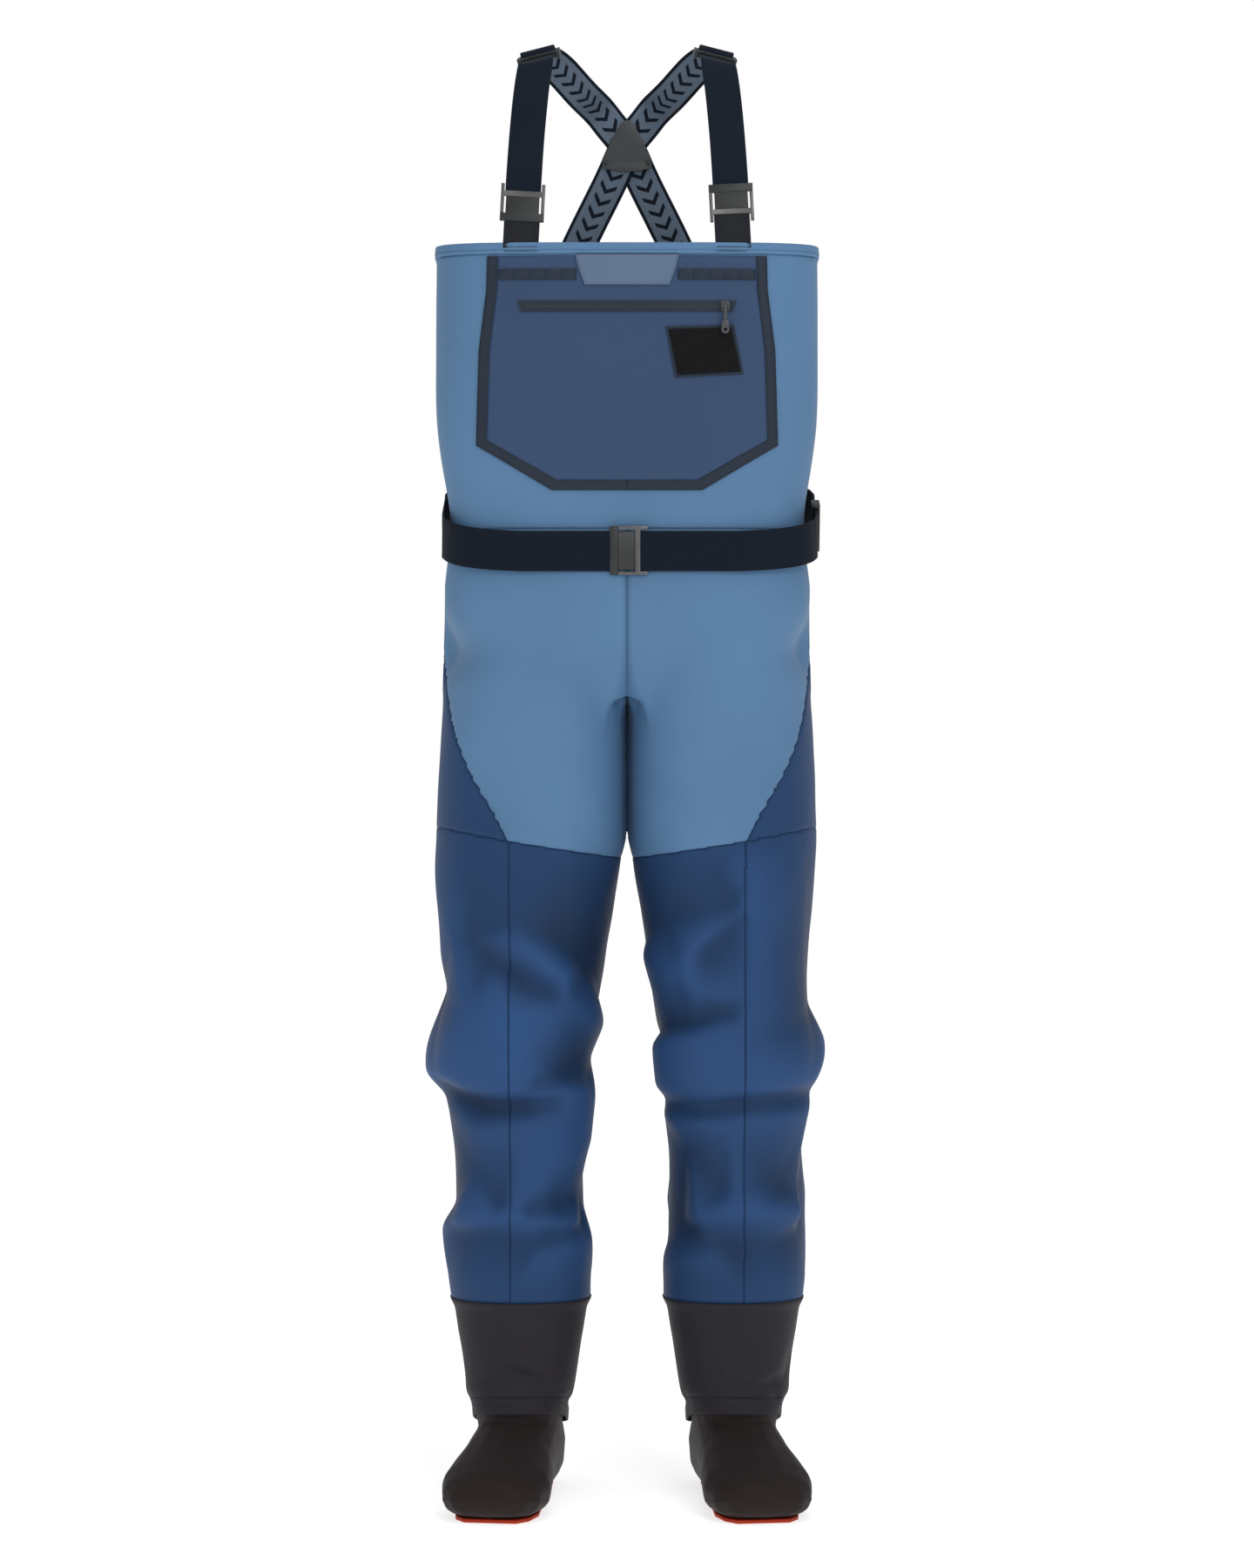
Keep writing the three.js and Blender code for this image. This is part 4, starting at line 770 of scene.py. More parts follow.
def folded(grid, angles, crotch, side):
    """The grid with its creases and small wrinkles pressed in, and how far each point stands out."""
    creases = LEG_CREASES[side] + BACK_CREASES
    depth_at = crease_field(creases, [200, 235, 705, 760, 1400])
    scale = sizes().fold_scale
    seed = sizes().noise_seed * 10 + SIDES[side]
    depth = np.zeros(grid.shape[:2])
    for i in range(grid.shape[0]):
        height = (grid[i, 0, 2] - SOLE_Z) / MM
        for j in range(grid.shape[1]):
            angle = math.degrees(angles[i, j])
            depth[i, j] = depth_at(angle, height) * scale
            point = Vector(grid[i, j]) * 9 + Vector((seed * 7.3, 0, 0))
            depth[i, j] += wrinkle(point, height) * scale
    depth = blurred(blurred(depth.T, 1.1, closed=True).T, 1.1)
    depth[crotch:, [0, OUTER_COLUMNS - 1]] = 0
    fade = np.clip((grid[:, :, 2] - LEG_HEM_Z) / 0.02, 0, 1)
    fade *= np.clip((TOP_Z - grid[:, :, 2]) / 0.05, 0, 1)
    depth *= fade
    made = grid + grid_normals(grid) * depth[..., None]
    last = OUTER_COLUMNS - 1
    made[crotch:, [0, last], 0] = 0
    made[..., 2] = np.where(fade > 0, made[..., 2], grid[..., 2])
    made[crotch, last + 1 :] = grid[crotch, last + 1 :]
    return made, depth


def wrinkle(point, height):
    """Small uneven drape, in metres; the bib hangs flatter than the legs."""
    heights = [212, 500, 700, 900, 1056, 1200, 1352]
    strengths = [1.6, 2.2, 1.8, 1.6, 1.4, 0.9, 0.6]
    strength = float(np.interp(height, heights, strengths))
    slow = noise.noise(Vector((point.x, point.y, point.z * 0.7)))
    return (slow + 0.35 * noise.noise(point * 2.7)) * strength * MM


def shell_mesh():
    """Both halves of the folded shell joined into one skin, with how far each point stands out."""
    grid, angles, heights, crotch = half_shell()
    smooth = smoothed_shell(grid, crotch)
    count = OUTER_COLUMNS + INNER_COLUMNS
    last = OUTER_COLUMNS - 1
    work = bmesh.new()
    # The ridge layer holds each point's fold depth; the shell cloth darkens the folds with it as painted
    # shade and pales the ridges as wear and painted highlight.
    ridge = work.verts.layers.float.new("ridge")
    for side, sign in SIDES.items():
        made, depth = folded(smooth, angles, crotch, side)
        around = around_lengths(smooth)
        points = made * (sign, 1, 1)
        verts = {}
        uvs = work.loops.layers.uv.verify()

        def corner(i, j):
            key = (i, j)
            if key not in verts:
                verts[key] = work.verts.new(points[i, j])
                verts[key][ridge] = float(np.clip(depth[i, j] / (10 * MM), -1, 1))
            return verts[key]

        for i in range(len(points) - 1):
            for j in range(count):
                if i >= crotch and j >= last:
                    continue
                k = (j + 1) % count
                ring = [(i, j), (i, k), (i + 1, k), (i + 1, j)]
                if sign < 0:
                    ring.reverse()
                face = work.faces.new([corner(*key) for key in ring])
                for loop, (a, b) in zip(face.loops, ring):
                    closes = b == 0 and j == count - 1
                    u = around[a, count - 1] + 0.005 if closes else around[a, b]
                    loop[uvs].uv = (u, heights[a])
    bmesh.ops.remove_doubles(
        work, verts=[v for v in work.verts if abs(v.co.x) < 1e-6], dist=0.05 * MM
    )
    return work


def around_lengths(grid):
    """Distance along each row, for a weave that keeps its scale."""
    steps = np.linalg.norm(np.diff(grid, axis=1), axis=2)
    return np.concatenate([np.zeros((len(grid), 1)), np.cumsum(steps, axis=1)], axis=1)


# ---------------------------------------------------------------- cutting the shell into panels
KNEE_Z = low("left_thigh_front").z
SIDE_SEAM_X = low("left_side_panel").x
SHIN_SEAM_X = ANKLE_X + 10 * MM
KNEE_LINE = [(0, KNEE_Z), (SIDE_SEAM_X, KNEE_Z + 20 * MM), (0.26, KNEE_Z + 45 * MM)]
SIDE_CURVE = [
    (SIDE_SEAM_X + across * MM, KNEE_Z + rise * MM)
    for across, rise in ((0, 20), (21, 58), (41, 92), (58, 134), (67, 176), (73, 220))
]


def smooth_line(line, steps):
    """A line through the same points with its corners rounded (Catmull-Rom)."""
    points = [Vector(p) for p in line]
    padded = [points[0] * 2 - points[1], *points, points[-1] * 2 - points[-2]]
    made = []
    for a, b, c, d in zip(padded, padded[1:], padded[2:], padded[3:]):
        for k in range(steps):
            t = k / steps
            made.append(
                0.5
                * (
                    2 * b
                    + (c - a) * t
                    + (2 * a - 5 * b + 4 * c - d) * t * t
                    + (3 * b - a - 3 * c + d) * t**3
                )
            )
    return [tuple(p) for p in (*made, points[-1])]


SIDE_LINE = smooth_line(SIDE_CURVE, 3)


def line_at(line, value, axis):
    """The other coordinate of a line where one of them has a value."""
    known = [p[axis] for p in line]
    return float(np.interp(value, known, [p[1 - axis] for p in line]))


def cut(work, point, normal, keep=lambda face: True):
    """Cuts the faces that keep allows along a plane."""
    faces = [f for f in work.faces if keep(f.calc_center_median())]
    edges = {e for f in faces for e in f.edges}
    verts = {v for f in faces for v in f.verts}
    bmesh.ops.bisect_plane(
        work, geom=[*faces, *edges, *verts], dist=0.02 * MM, plane_co=point, plane_no=normal
    )


def cut_along(work, line, sign, margin=3.5 * MM):
    """Cuts straight through from front to back along a line seen from the front."""
    for (x0, z0), (x1, z1) in zip(line, line[1:]):
        normal = Vector((z1 - z0, 0, (x0 - x1)))
        normal.x *= sign
        low_x, high_x = min(x0, x1) - margin, max(x0, x1) + margin
        low_z, high_z = min(z0, z1) - margin, max(z0, z1) + margin
        cut(
            work,
            Vector((x0 * sign, 0, z0)),
            normal,
            lambda c: low_x <= c.x * sign <= high_x and low_z <= c.z <= high_z,
        )


def hem_plane_z(y, drop=12 * MM):
    """Height of the bib hem's lower edge, which falls from the sides to front and back."""
    fall = 40 * max(y, 0) / 0.124 + 8 * max(-y, 0) / 0.124
    return HEM_TOP_Z - drop - fall * MM


def cut_panels(work):
    """Cuts the skin along every seam and trims its upper edge to the hem."""
    for way in (-1, 1):
        depth = 0.124 * way
        fall = z_at(1340) - hem_plane_z(depth)
        normal = Vector((0, fall * way, 0.124))
        cut(work, Vector((0, 0, z_at(1340))), normal, lambda c: c.y * way > -0.006 and c.z > z_at(1250))
    above = [
        f for f in work.faces if f.calc_center_median().z > hem_plane_z(f.calc_center_median().y)
    ]
    bmesh.ops.delete(work, geom=above, context="FACES")
    cut(work, Vector((0, 0, WAIST_SEAM_Z)), Vector((0, 0, 1)), lambda c: abs(c.z - WAIST_SEAM_Z) < 0.01)
    cut(work, Vector((0, 0, 0)), Vector((0, 1, 0)), lambda c: abs(c.y) < 0.02 and c.z > KNEE_Z - 0.01)
    for sign in SIDES.values():
        cut_along(work, KNEE_LINE, sign)
        cut_along(work, SIDE_LINE, sign)
        cut(
            work,
            Vector((SHIN_SEAM_X * sign, 0, 0)),
            Vector((1, 0, 0)),
            lambda c: c.x * sign > 0 and c.z < KNEE_Z + 0.03,
        )


def panel_of(centre):
    """The name of the panel that a point of the skin belongs to."""
    half = "front" if centre.y < 0 else "back"
    if centre.z > WAIST_SEAM_Z:
        return f"bib_{half}"
    side = "left" if centre.x > 0 else "right"
    x, z = abs(centre.x), centre.z
    if z < line_at(KNEE_LINE, x, 0):
        return f"{side}_inner_shin" if x < SHIN_SEAM_X else f"{side}_outer_shin"
    if x > SIDE_SEAM_X and z < SIDE_LINE[-1][1] and x > line_at(SIDE_LINE, z, 1):
        return f"{side}_side_panel"
    return f"{side}_thigh_front" if half == "front" else f"{side}_seat"


def sink_seams(work):
    """Draws the cloth in along the lines between panels, and returns those lines' edges."""
    work.normal_update()
    names = {f: panel_of(f.calc_center_median()) for f in work.faces}
    seams = [
        e for e in work.edges
        if len(e.link_faces) == 2 and names[e.link_faces[0]] != names[e.link_faces[1]]
    ]
    for vert in {v for e in seams for v in e.verts}:
        vert.co -= vert.normal * sizes().seam_sink
    return names, seams


UPPER_PANELS = ("bib_front", "bib_back", "thigh_front", "seat")


def slot_of(panel):
    return "upper_fabric" if panel.endswith(UPPER_PANELS) else "lower_fabric"


SHELL = {}  # the finished skin, kept for the pieces that are sewn to it


class WADERS_OT_shell(bpy.types.Operator):
    """Drape the shell over the frame, fold it and cut it into its panels"""

    bl_idname = "waders.shell"
    bl_label = "Shell Panels"

    def execute(self, context):
        work = shell_mesh()
        cut_panels(work)
        names, seams = sink_seams(work)
        work.verts.index_update()
        SHELL["tree"] = BVHTree.FromBMesh(work)
        SHELL["top"] = rim_of(work)
        SHELL["seams"] = [
            (tuple(v.co.copy() for v in e.verts), {names[f] for f in e.link_faces}, mean_normal(e))
            for e in seams
        ]
        for panel in sorted(set(names.values())):
            self.panel(work, panel, [f for f in work.faces if names[f] == panel])
        work.free()
        return {"FINISHED"}

    def panel(self, work, name, faces):
        part = work.copy()
        part.faces.ensure_lookup_table()
        wanted = {f.index for f in faces}
        bmesh.ops.delete(
            part, geom=[f for f in part.faces if f.index not in wanted], context="FACES"
        )
        mesh = bpy.data.meshes.new(name + "_cloth")
        part.to_mesh(mesh)
        part.free()
        piece = settle(mesh, name + "_cloth", slot_of(name), "root", [name])
        thicken(piece, sizes().cloth, lining="lining")


def mean_normal(edge):
    return sum((f.normal for f in edge.link_faces), Vector()).normalized()


def rim_of(work):
    """The shell's upper edge as points in order, anticlockwise from the front's middle."""
    edge = {v for e in work.edges if e.is_boundary for v in e.verts if v.co.z > z_at(1250)}
    edge = {v for v in edge if abs(v.co.z - hem_plane_z(v.co.y)) < 1.5 * MM}
    return sorted((v.co.copy() for v in edge), key=lambda p: math.atan2(p.x, -p.y) % (2 * math.pi))



# ---------------------------------------------------------------- geometry nodes
def node_tree(name, inputs):
    """A Geometry Nodes tree with a geometry input and output and some named sizes."""
    if name in bpy.data.node_groups:
        return bpy.data.node_groups[name], None, None
    tree = bpy.data.node_groups.new(name, "GeometryNodeTree")
    rows = [("Geometry", "NodeSocketGeometry", None), *inputs]
    for label, kind, value in rows:
        socket = tree.interface.new_socket(label, in_out="INPUT", socket_type=kind)
        if value is not None:
            socket.default_value = value
    tree.interface.new_socket("Geometry", in_out="OUTPUT", socket_type="NodeSocketGeometry")
    return tree, tree.nodes.new("NodeGroupInput").outputs, tree.nodes.new("NodeGroupOutput").inputs


def spaced_line(tree, given):
    """The given edges as a curve, with a point at every pitch."""
    line = node(tree, "GeometryNodeMeshToCurve", {"Mesh": given["Geometry"]}).outputs[0]
    return node(
        tree, "GeometryNodeResampleCurve", {"Curve": line, "Length": given["Pitch"]}, mode="LENGTH"
    ).outputs[0]


def coloured(tree, geometry, given, made):
    """Ends a tree: its copies made real, in the given material."""
    real = node(tree, "GeometryNodeRealizeInstances", {"Geometry": geometry}).outputs[0]
    ends = {"Geometry": real, "Material": given["Material"]}
    last = node(tree, "GeometryNodeSetMaterial", ends)
    tree.links.new(last.outputs[0], made["Geometry"])
    return tree


def cord_tree():
    """A round cord along every edge of a mesh."""
    tree, given, made = node_tree(
        "felled_seam",
        [("Radius", NUMBER, 0.001), ("Material", "NodeSocketMaterial", None)],
    )
    if given is None:
        return tree
    line = node(tree, "GeometryNodeMeshToCurve", {"Mesh": given["Geometry"]}).outputs[0]
    profile = node(
        tree, "GeometryNodeCurvePrimitiveCircle", {"Resolution": 6, "Radius": given["Radius"]}
    )
    tube = node(
        tree,
        "GeometryNodeCurveToMesh",
        {"Curve": line, "Profile Curve": profile.outputs[0], "Fill Caps": True},
    )
    return coloured(tree, tube.outputs[0], given, made)


def stitch_tree():
    """Small stitches laid end to end along every edge of a mesh."""
    tree, given, made = node_tree(
        "stitch_row",
        [
            ("Pitch", NUMBER, 0.003),
            ("Length", NUMBER, 0.002),
            ("Radius", NUMBER, 0.0003),
            ("Material", "NodeSocketMaterial", None),
        ],
    )
    if given is None:
        return tree
    spaced = spaced_line(tree, given)
    bead = node(tree, "GeometryNodeMeshIcoSphere", {"Radius": 1.0, "Subdivisions": 1}).outputs[0]
    half = math_node(tree, "MULTIPLY", given["Length"], 0.5)
    shape = node(
        tree, "ShaderNodeCombineXYZ", {0: half, 1: given["Radius"], 2: given["Radius"]}
    ).outputs[0]
    along = node(tree, "GeometryNodeInputTangent").outputs[0]
    turn = node(tree, "FunctionNodeAlignRotationToVector", {"Vector": along}, axis="X").outputs[0]
    placed = node(
        tree,
        "GeometryNodeInstanceOnPoints",
        {"Points": spaced, "Instance": bead, "Rotation": turn, "Scale": shape},
    ).outputs[0]
    return coloured(tree, placed, given, made)


def rib_tree():
    """Raised ribs across a strap, one at every pitch along its middle line."""
    tree, given, made = node_tree(
        "webbing_ribs",
        [
            ("Pitch", NUMBER, 0.002),
            ("Width", NUMBER, 0.036),
            ("Radius", NUMBER, 0.0005),
            ("Material", "NodeSocketMaterial", None),
        ],
    )
    if given is None:
        return tree
    spaced = spaced_line(tree, given)
    rod = node(
        tree,
        "GeometryNodeMeshCylinder",
        {"Vertices": 6, "Radius": given["Radius"], "Depth": given["Width"]},
    ).outputs[0]
    across = node(
        tree, "GeometryNodeInputNamedAttribute", {"Name": "across"}, data_type="FLOAT_VECTOR"
    ).outputs[0]
    turn = node(tree, "FunctionNodeAlignRotationToVector", {"Vector": across}, axis="Z").outputs[0]
    placed = node(
        tree, "GeometryNodeInstanceOnPoints", {"Points": spaced, "Instance": rod, "Rotation": turn}
    ).outputs[0]
    return coloured(tree, placed, given, made)


def grown(name, lines, tree, slot, body="root", record_slot=None, **values):
    """Runs a tree over polylines and keeps the result as a plain mesh piece. Each line is a list of
    points, or of (point, across) pairs where the tree turns its copies."""
    mesh = bpy.data.meshes.new(name + "_lines")
    points, edges, across = [], [], []
    for line in lines:
        for k, stop in enumerate(line):
            place, side = stop if isinstance(stop, tuple) else (stop, (0, 0, 1))
            if k:
                edges.append((len(points) - 1, len(points)))
            points.append(tuple(place))
            across.append(tuple(side))
    mesh.from_pydata(points, edges, [])
    layer = mesh.attributes.new("across", "FLOAT_VECTOR", "POINT")
    layer.data.foreach_set("vector", np.asarray(across, np.float32).ravel())
    holder = bpy.data.objects.new(name + "_lines", mesh)
    bpy.context.scene.collection.objects.link(holder)
    modifier = holder.modifiers.new("grow", "NODES")
    modifier.node_group = tree
    values = {"Material": finish(slot), **values}
    for item in tree.interface.items_tree:
        if item.in_out == "INPUT" and item.name in values:
            modifier[item.identifier] = values[item.name]
    evaluated = holder.evaluated_get(bpy.context.evaluated_depsgraph_get())
    plain = bpy.data.meshes.new_from_object(evaluated)
    bpy.data.objects.remove(holder)
    bpy.data.meshes.remove(mesh)
    return settle(plain, name, record_slot or slot, body, ())


def stitched(name, lines, slot, body="root", **values):
    row = {"Pitch": sizes().stitch_pitch, "Length": 2.3 * MM, "Radius": sizes().stitch_radius}
    return grown(name, lines, stitch_tree(), slot, body, **{**row, **values})


# ---------------------------------------------------------------- sewing on the shell
def on_front(x, z, lift, way=-1):
    """The point of the shell at x, z on its front, or its back where way is 1, lifted off the cloth."""
    start = Vector((x, way * 0.5, z))
    hit, normal, *_ = SHELL["tree"].ray_cast(start, Vector((0, -way, 0)))
    if hit is None:
        raise RuntimeError(f"no cloth at x {x:.3f}, z {z:.3f}")
    return hit + normal * lift * (1 if normal.y * way > 0 else -1)


def along_line(corners, step, closed=False):
    """Points a step apart along straight lines between corners."""
    made = []
    ends = list(zip(corners, corners[1:] + ([corners[0]] if closed else [])))
    for a, b in ends if closed else ends:
        a, b = Vector(a), Vector(b)
        count = max(1, round((b - a).length / step))
        made += [a.lerp(b, k / count) for k in range(count)]
    if not closed:
        made.append(Vector(corners[-1]))
    return made


def sewn_sheet(
    name, rails, slot, lift, thickness, stands_for=(), step=4 * MM, across=None, way=-1, body="root"
):
    """A sheet on the shell between two rails of equally many front-view corners."""
    left, right = [], []
    for k in range(len(rails[0]) - 1):
        ends = [Vector(rail[m]) for rail in rails for m in (k, k + 1)]
        count = max(1, round(max((ends[1] - ends[0]).length, (ends[3] - ends[2]).length) / step))
        left += [ends[0].lerp(ends[1], m / count) for m in range(count)]
        right += [ends[2].lerp(ends[3], m / count) for m in range(count)]
    left.append(Vector(rails[0][-1]))
    right.append(Vector(rails[1][-1]))
    wide = max((b - a).length for a, b in zip(left, right))
    columns = across or max(2, round(wide / step)) + 1
    flat = [a.lerp(b, j / (columns - 1)) for a, b in zip(left, right) for j in range(columns)]
    rise = lift if callable(lift) else lambda x, z: lift
    points = [on_front(p.x, p.y, rise(p.x, p.y), way) for p in flat]
    faces = grid_faces(len(left), columns)
    if facing(points, faces[0]).y * way < 0:
        faces = [tuple(reversed(f)) for f in faces]
    piece = new_piece(name, points, faces, slot, body, stands_for, uv=[tuple(p) for p in flat])
    return thicken(piece, thickness, offset=1.0)


def facing(points, face):
    a, b, c = (Vector(points[k]) for k in face[:3])
    return (b - a).cross(c - a)


# ---------------------------------------------------------------- top hem
class WADERS_OT_hem(bpy.types.Operator):
    """Roll the bib's upper edge into a puckered, stitched hem"""

    bl_idname = "waders.hem"
    bl_label = "Top Hem"

    def execute(self, context):
        rim = self.even_rim(360)
        outward = [self.outward(rim, k) for k in range(len(rim))]
        tall, half = 12 * MM, 1.9 * MM
        profile = [(-1.0, 0.0), (-1.0, 0.5), (-0.9, 0.9), (-0.4, 1.0), (0.3, 1.0), (0.85, 0.9)]
        profile += [(1.0, 0.6), (1.0, 0.45), (0.75, 0.36), (1.0, 0.26), (1.0, 0.05), (0.8, 0.0)]
        points, uvs = [], []
        run = 0.0
        for k, (p, out) in enumerate(zip(rim, outward)):
            run += (p - rim[k - 1]).length if k else 0.0
            pucker = noise.noise(Vector((run * 90, 0.3, 0))) * 0.35 * MM
            for across, rise in profile:
                swell = pucker * (1 if across > 0 else 0)
                points.append(p + out * (across * half + swell) + Vector((0, 0, rise * tall)))
                uvs.append((run, rise * tall))
        columns = len(profile)
        faces = [
            (
                k * columns + j,
                (k + 1) % len(rim) * columns + j,
                (k + 1) % len(rim) * columns + m,
                k * columns + m,
            )
            for k in range(len(rim))
            for j, m in zip(range(columns), [*range(1, columns), 0])
        ]
        for half_name, keep in (("front", lambda y: y < 0), ("back", lambda y: y >= 0)):
            mine = [f for f in faces if keep(sum(points[v].y for v in f) / 4)]
            new_piece(
                f"top_hem_{half_name}_roll", points, outward_faces(points, mine), "upper_fabric",
                stands_for=[f"top_hem_{half_name}"], uv=uvs,
            )
        row = [
            p + out * (half + 0.05 * MM) + Vector((0, 0, 0.33 * tall))
            for p, out in zip(rim, outward)
        ]
        stitched("top_hem_stitches", [row + row[:1]], "upper_thread")
        self.bar_tacks(row)
        return {"FINISHED"}

    def even_rim(self, count):
        rim = SHELL["top"]
        loop = [*rim, rim[0]]
        run = np.cumsum([0, *[(b - a).length for a, b in zip(loop, loop[1:])]])
        steps = np.linspace(0, run[-1], count, endpoint=False)
        return [
            Vector([np.interp(s, run, [p[axis] for p in loop]) for axis in range(3)]) for s in steps
        ]

    def outward(self, rim, k):
        along = rim[(k + 1) % len(rim)] - rim[k - 1]
        return Vector((along.y, -along.x, 0)).normalized()

    def bar_tacks(self, row):
        """Close zigzag stitching where the front webbing is sewn behind the hem."""
        lines = []
        for side in SIDES:
            web = (low(f"{side}_front_webbing").x + high(f"{side}_front_webbing").x) / 2
            near = [p for p in row if abs(p.x - web) < 18 * MM and p.y < 0]
            near.sort(key=lambda p: p.x)
            for rise in (-1.2, 3.2):
                zigzag = [
                    p + Vector((0, -0.15 * MM, (rise + (0.7 if k % 2 else -0.7)) * MM))
                    for k, p in enumerate(along_line(near, 1.1 * MM))
                ]
                lines.append(zigzag)
        stitched("hem_bar_tacks", lines, "dark_thread", Pitch=1.3 * MM, Length=1.6 * MM)


def outward_faces(points, faces):
    """The faces of a closed band turned so that they look away from the ring they follow."""
    mesh = bmesh.new()
    verts = [mesh.verts.new(p) for p in points]
    for face in faces:
        mesh.faces.new([verts[k] for k in face])
    bmesh.ops.recalc_face_normals(mesh, faces=mesh.faces)
    mesh.verts.index_update()
    made = [tuple(v.index for v in f.verts) for f in mesh.faces]
    mesh.free()
    return made


# ---------------------------------------------------------------- seams
class WADERS_OT_seams(bpy.types.Operator):
    """Fell the seams between the panels"""

    bl_idname = "waders.seams"
    bl_label = "Seams"

    def execute(self, context):
        upper, lower = [], []
        for ends, panels, normal in SHELL["seams"]:
            line = [p - normal * 0.15 * MM for p in ends]
            (upper if all(slot_of(p) == "upper_fabric" for p in panels) else lower).append(line)
        for name, lines, thread, slot in (
            ("upper_seams", upper, "upper_thread", "upper_fabric"),
            ("lower_seams", lower, "lower_thread", "lower_fabric"),
        ):
            radius = sizes().seam_radius
            grown(name, chained(lines), cord_tree(), thread, record_slot=slot, Radius=radius)
        return {"FINISHED"}


def chained(lines):
    """Two-point lines joined end to end into long ones."""
    def key(p):
        return tuple(round(v / (0.1 * MM)) for v in p)

    nexts = {}
    for a, b in lines:
        nexts.setdefault(key(a), []).append((key(b), a, b))
        nexts.setdefault(key(b), []).append((key(a), b, a))
    left = {frozenset((key(a), key(b))) for a, b in lines}
    made = []
    starts = [k for k, v in nexts.items() if len(v) != 2] + list(nexts)
    for start in starts:
        for first in nexts[start]:
            if frozenset((start, first[0])) not in left:
                continue
            chain, here, step = [first[1]], start, first
            while step is not None:
                left.discard(frozenset((here, step[0])))
                chain.append(step[2])
                here = step[0]
                onward = [s for s in nexts[here] if frozenset((here, s[0])) in left]
                step = onward[0] if len(nexts[here]) == 2 and onward else None
            made.append(chain)
    return made


# ---------------------------------------------------------------- guards and booties
GUARD_CREASES = {
    "right": [
        [(14, 141, -1), (2, 139, -4), (-18, 129, -4), (-34, 117, -2)],
        [(12, 148, 2), (-8, 142, 3), (-30, 130, 2)],
        [(6, 124, -1), (5, 116, -2), (5, 108, -1)],
        [(60, 120, 2), (75, 108, 3), (85, 100, 0)],
        [(-60, 120, 2), (-80, 104, 3)],
        [(160, 150, 2), (190, 140, -4), (210, 150, 1)],
    ],
    "left": [
        [(-12, 122, -1), (10, 119, -3), (38, 127, -4), (60, 128, -1)],
        [(-10, 130, 2), (12, 127, 3), (40, 136, 2)],
        [(50, 108, 2), (72, 112, 4), (88, 118, 1)],
        [(30, 112, -2), (45, 108, -2)],
        [(-60, 118, 2), (-80, 104, 3)],
        [(150, 150, 2), (180, 141, -4), (205, 150, 1)],
    ],
}


class WADERS_OT_guards(bpy.types.Operator):
    """Make the knit neoprene gravel guards with their elastic hems"""

    bl_idname = "waders.guards"
    bl_label = "Gravel Guards"

    def execute(self, context):
        for side in SIDES:
            self.guard(side)
        return {"FINISHED"}

    def guard(self, side):
        sign = SIDES[side]
        tree = tree_of("left_gravel_guard", "left_guard_hem")
        depth_at = crease_field(GUARD_CREASES[side], [62, 95, 165, 230])
        columns, rows, hem_rows = 132, 46, 7
        angles = np.linspace(-math.pi, math.pi, columns, endpoint=False)
        top = high("left_gravel_guard").z
        grid = np.zeros((rows, columns, 3))
        for j, angle in enumerate(angles):
            way = Vector((math.sin(angle), -math.cos(angle), 0))
            foot = z_at(78 + 16 * -way.y)
            hit = None
            for i in reversed(range(rows)):
                z = foot + (top - 0.1 * MM - foot) * i / (rows - 1)
                middle = Vector((ANKLE_X, 4 * MM, z))
                found = tree.ray_cast(middle + way * 0.25, -way, 0.25)[0]
                hit = found if found and (hit is None or (found - hit).length < 9 * MM) else hit
                grid[i, j] = (hit.x, hit.y, z)
        for axis in (0, 1):
            grid[:, :, axis] = blurred(blurred(grid[:, :, axis].T, 2.2, closed=True).T, 1.2)
        push = np.zeros((rows, columns))
        for i in range(rows):
            for j, angle in enumerate(angles):
                height = (grid[i, j, 2] - SOLE_Z) / MM
                fade = min(1.0, i / 6) * min(1.0, (rows - 1 - i) / 6)
                push[i, j] = depth_at(math.degrees(angle), height) * fade
                ripple = 0.45 * MM * math.sin(angle * 44) * math.exp(-(((i - 3.5) / 2.6) ** 2))
                lip = 1.3 * MM * math.exp(-(((i - rows + 2) / 1.6) ** 2))
                groove = -0.9 * MM * math.exp(-((i - hem_rows) ** 2) / 0.9)
                fine = 0.25 * MM * noise.noise(Vector(grid[i, j]) * 28)
                gather = -3.2 * MM * max(0.0, 1 - i / (hem_rows + 4))
                push[i, j] += ripple + lip + groove + fine + gather
        grid += grid_normals(grid) * blurred(blurred(push.T, 0.8, closed=True).T, 0.6)[..., None]
        points = (grid * (sign, 1, 1)).reshape(-1, 3)
        uv = [(j / columns * 0.45, p[2]) for p, j in zip(points, list(range(columns)) * rows)]
        faces = grid_faces(rows, columns, closed=True)
        if sign < 0:
            faces = [tuple(reversed(f)) for f in faces]
        split = hem_rows * columns
        hem = [f for f in faces if min(f) < split]
        sleeve = [f for f in faces if min(f) >= split]
        for name, node_name, mine in (
            ("elastic_hem", "guard_hem", hem),
            ("guard_sleeve", "gravel_guard", sleeve),
        ):
            piece = new_piece(
                f"{side}_{name}", points, mine, "neoprene_guard",
                stands_for=[f"{side}_{node_name}"], uv=uv,
            )
            drop_loose(piece.data)
            thicken(piece, 2.6 * MM)
        ring = [Vector(points[4 * columns + j]) for j in range(columns)]
        centre = sum(ring, Vector()) / columns
        row = [p + (p - centre).normalized() * 0.35 * MM for p in ring]
        stitched(
            f"{side}_guard_stitches", [row + row[:1]], "dark_thread", Pitch=4 * MM, Length=3 * MM
        )


def drop_loose(mesh):
    work = bmesh.new()
    work.from_mesh(mesh)
    bmesh.ops.delete(work, geom=[v for v in work.verts if not v.link_faces], context="VERTS")
    work.to_mesh(mesh)
    work.free()


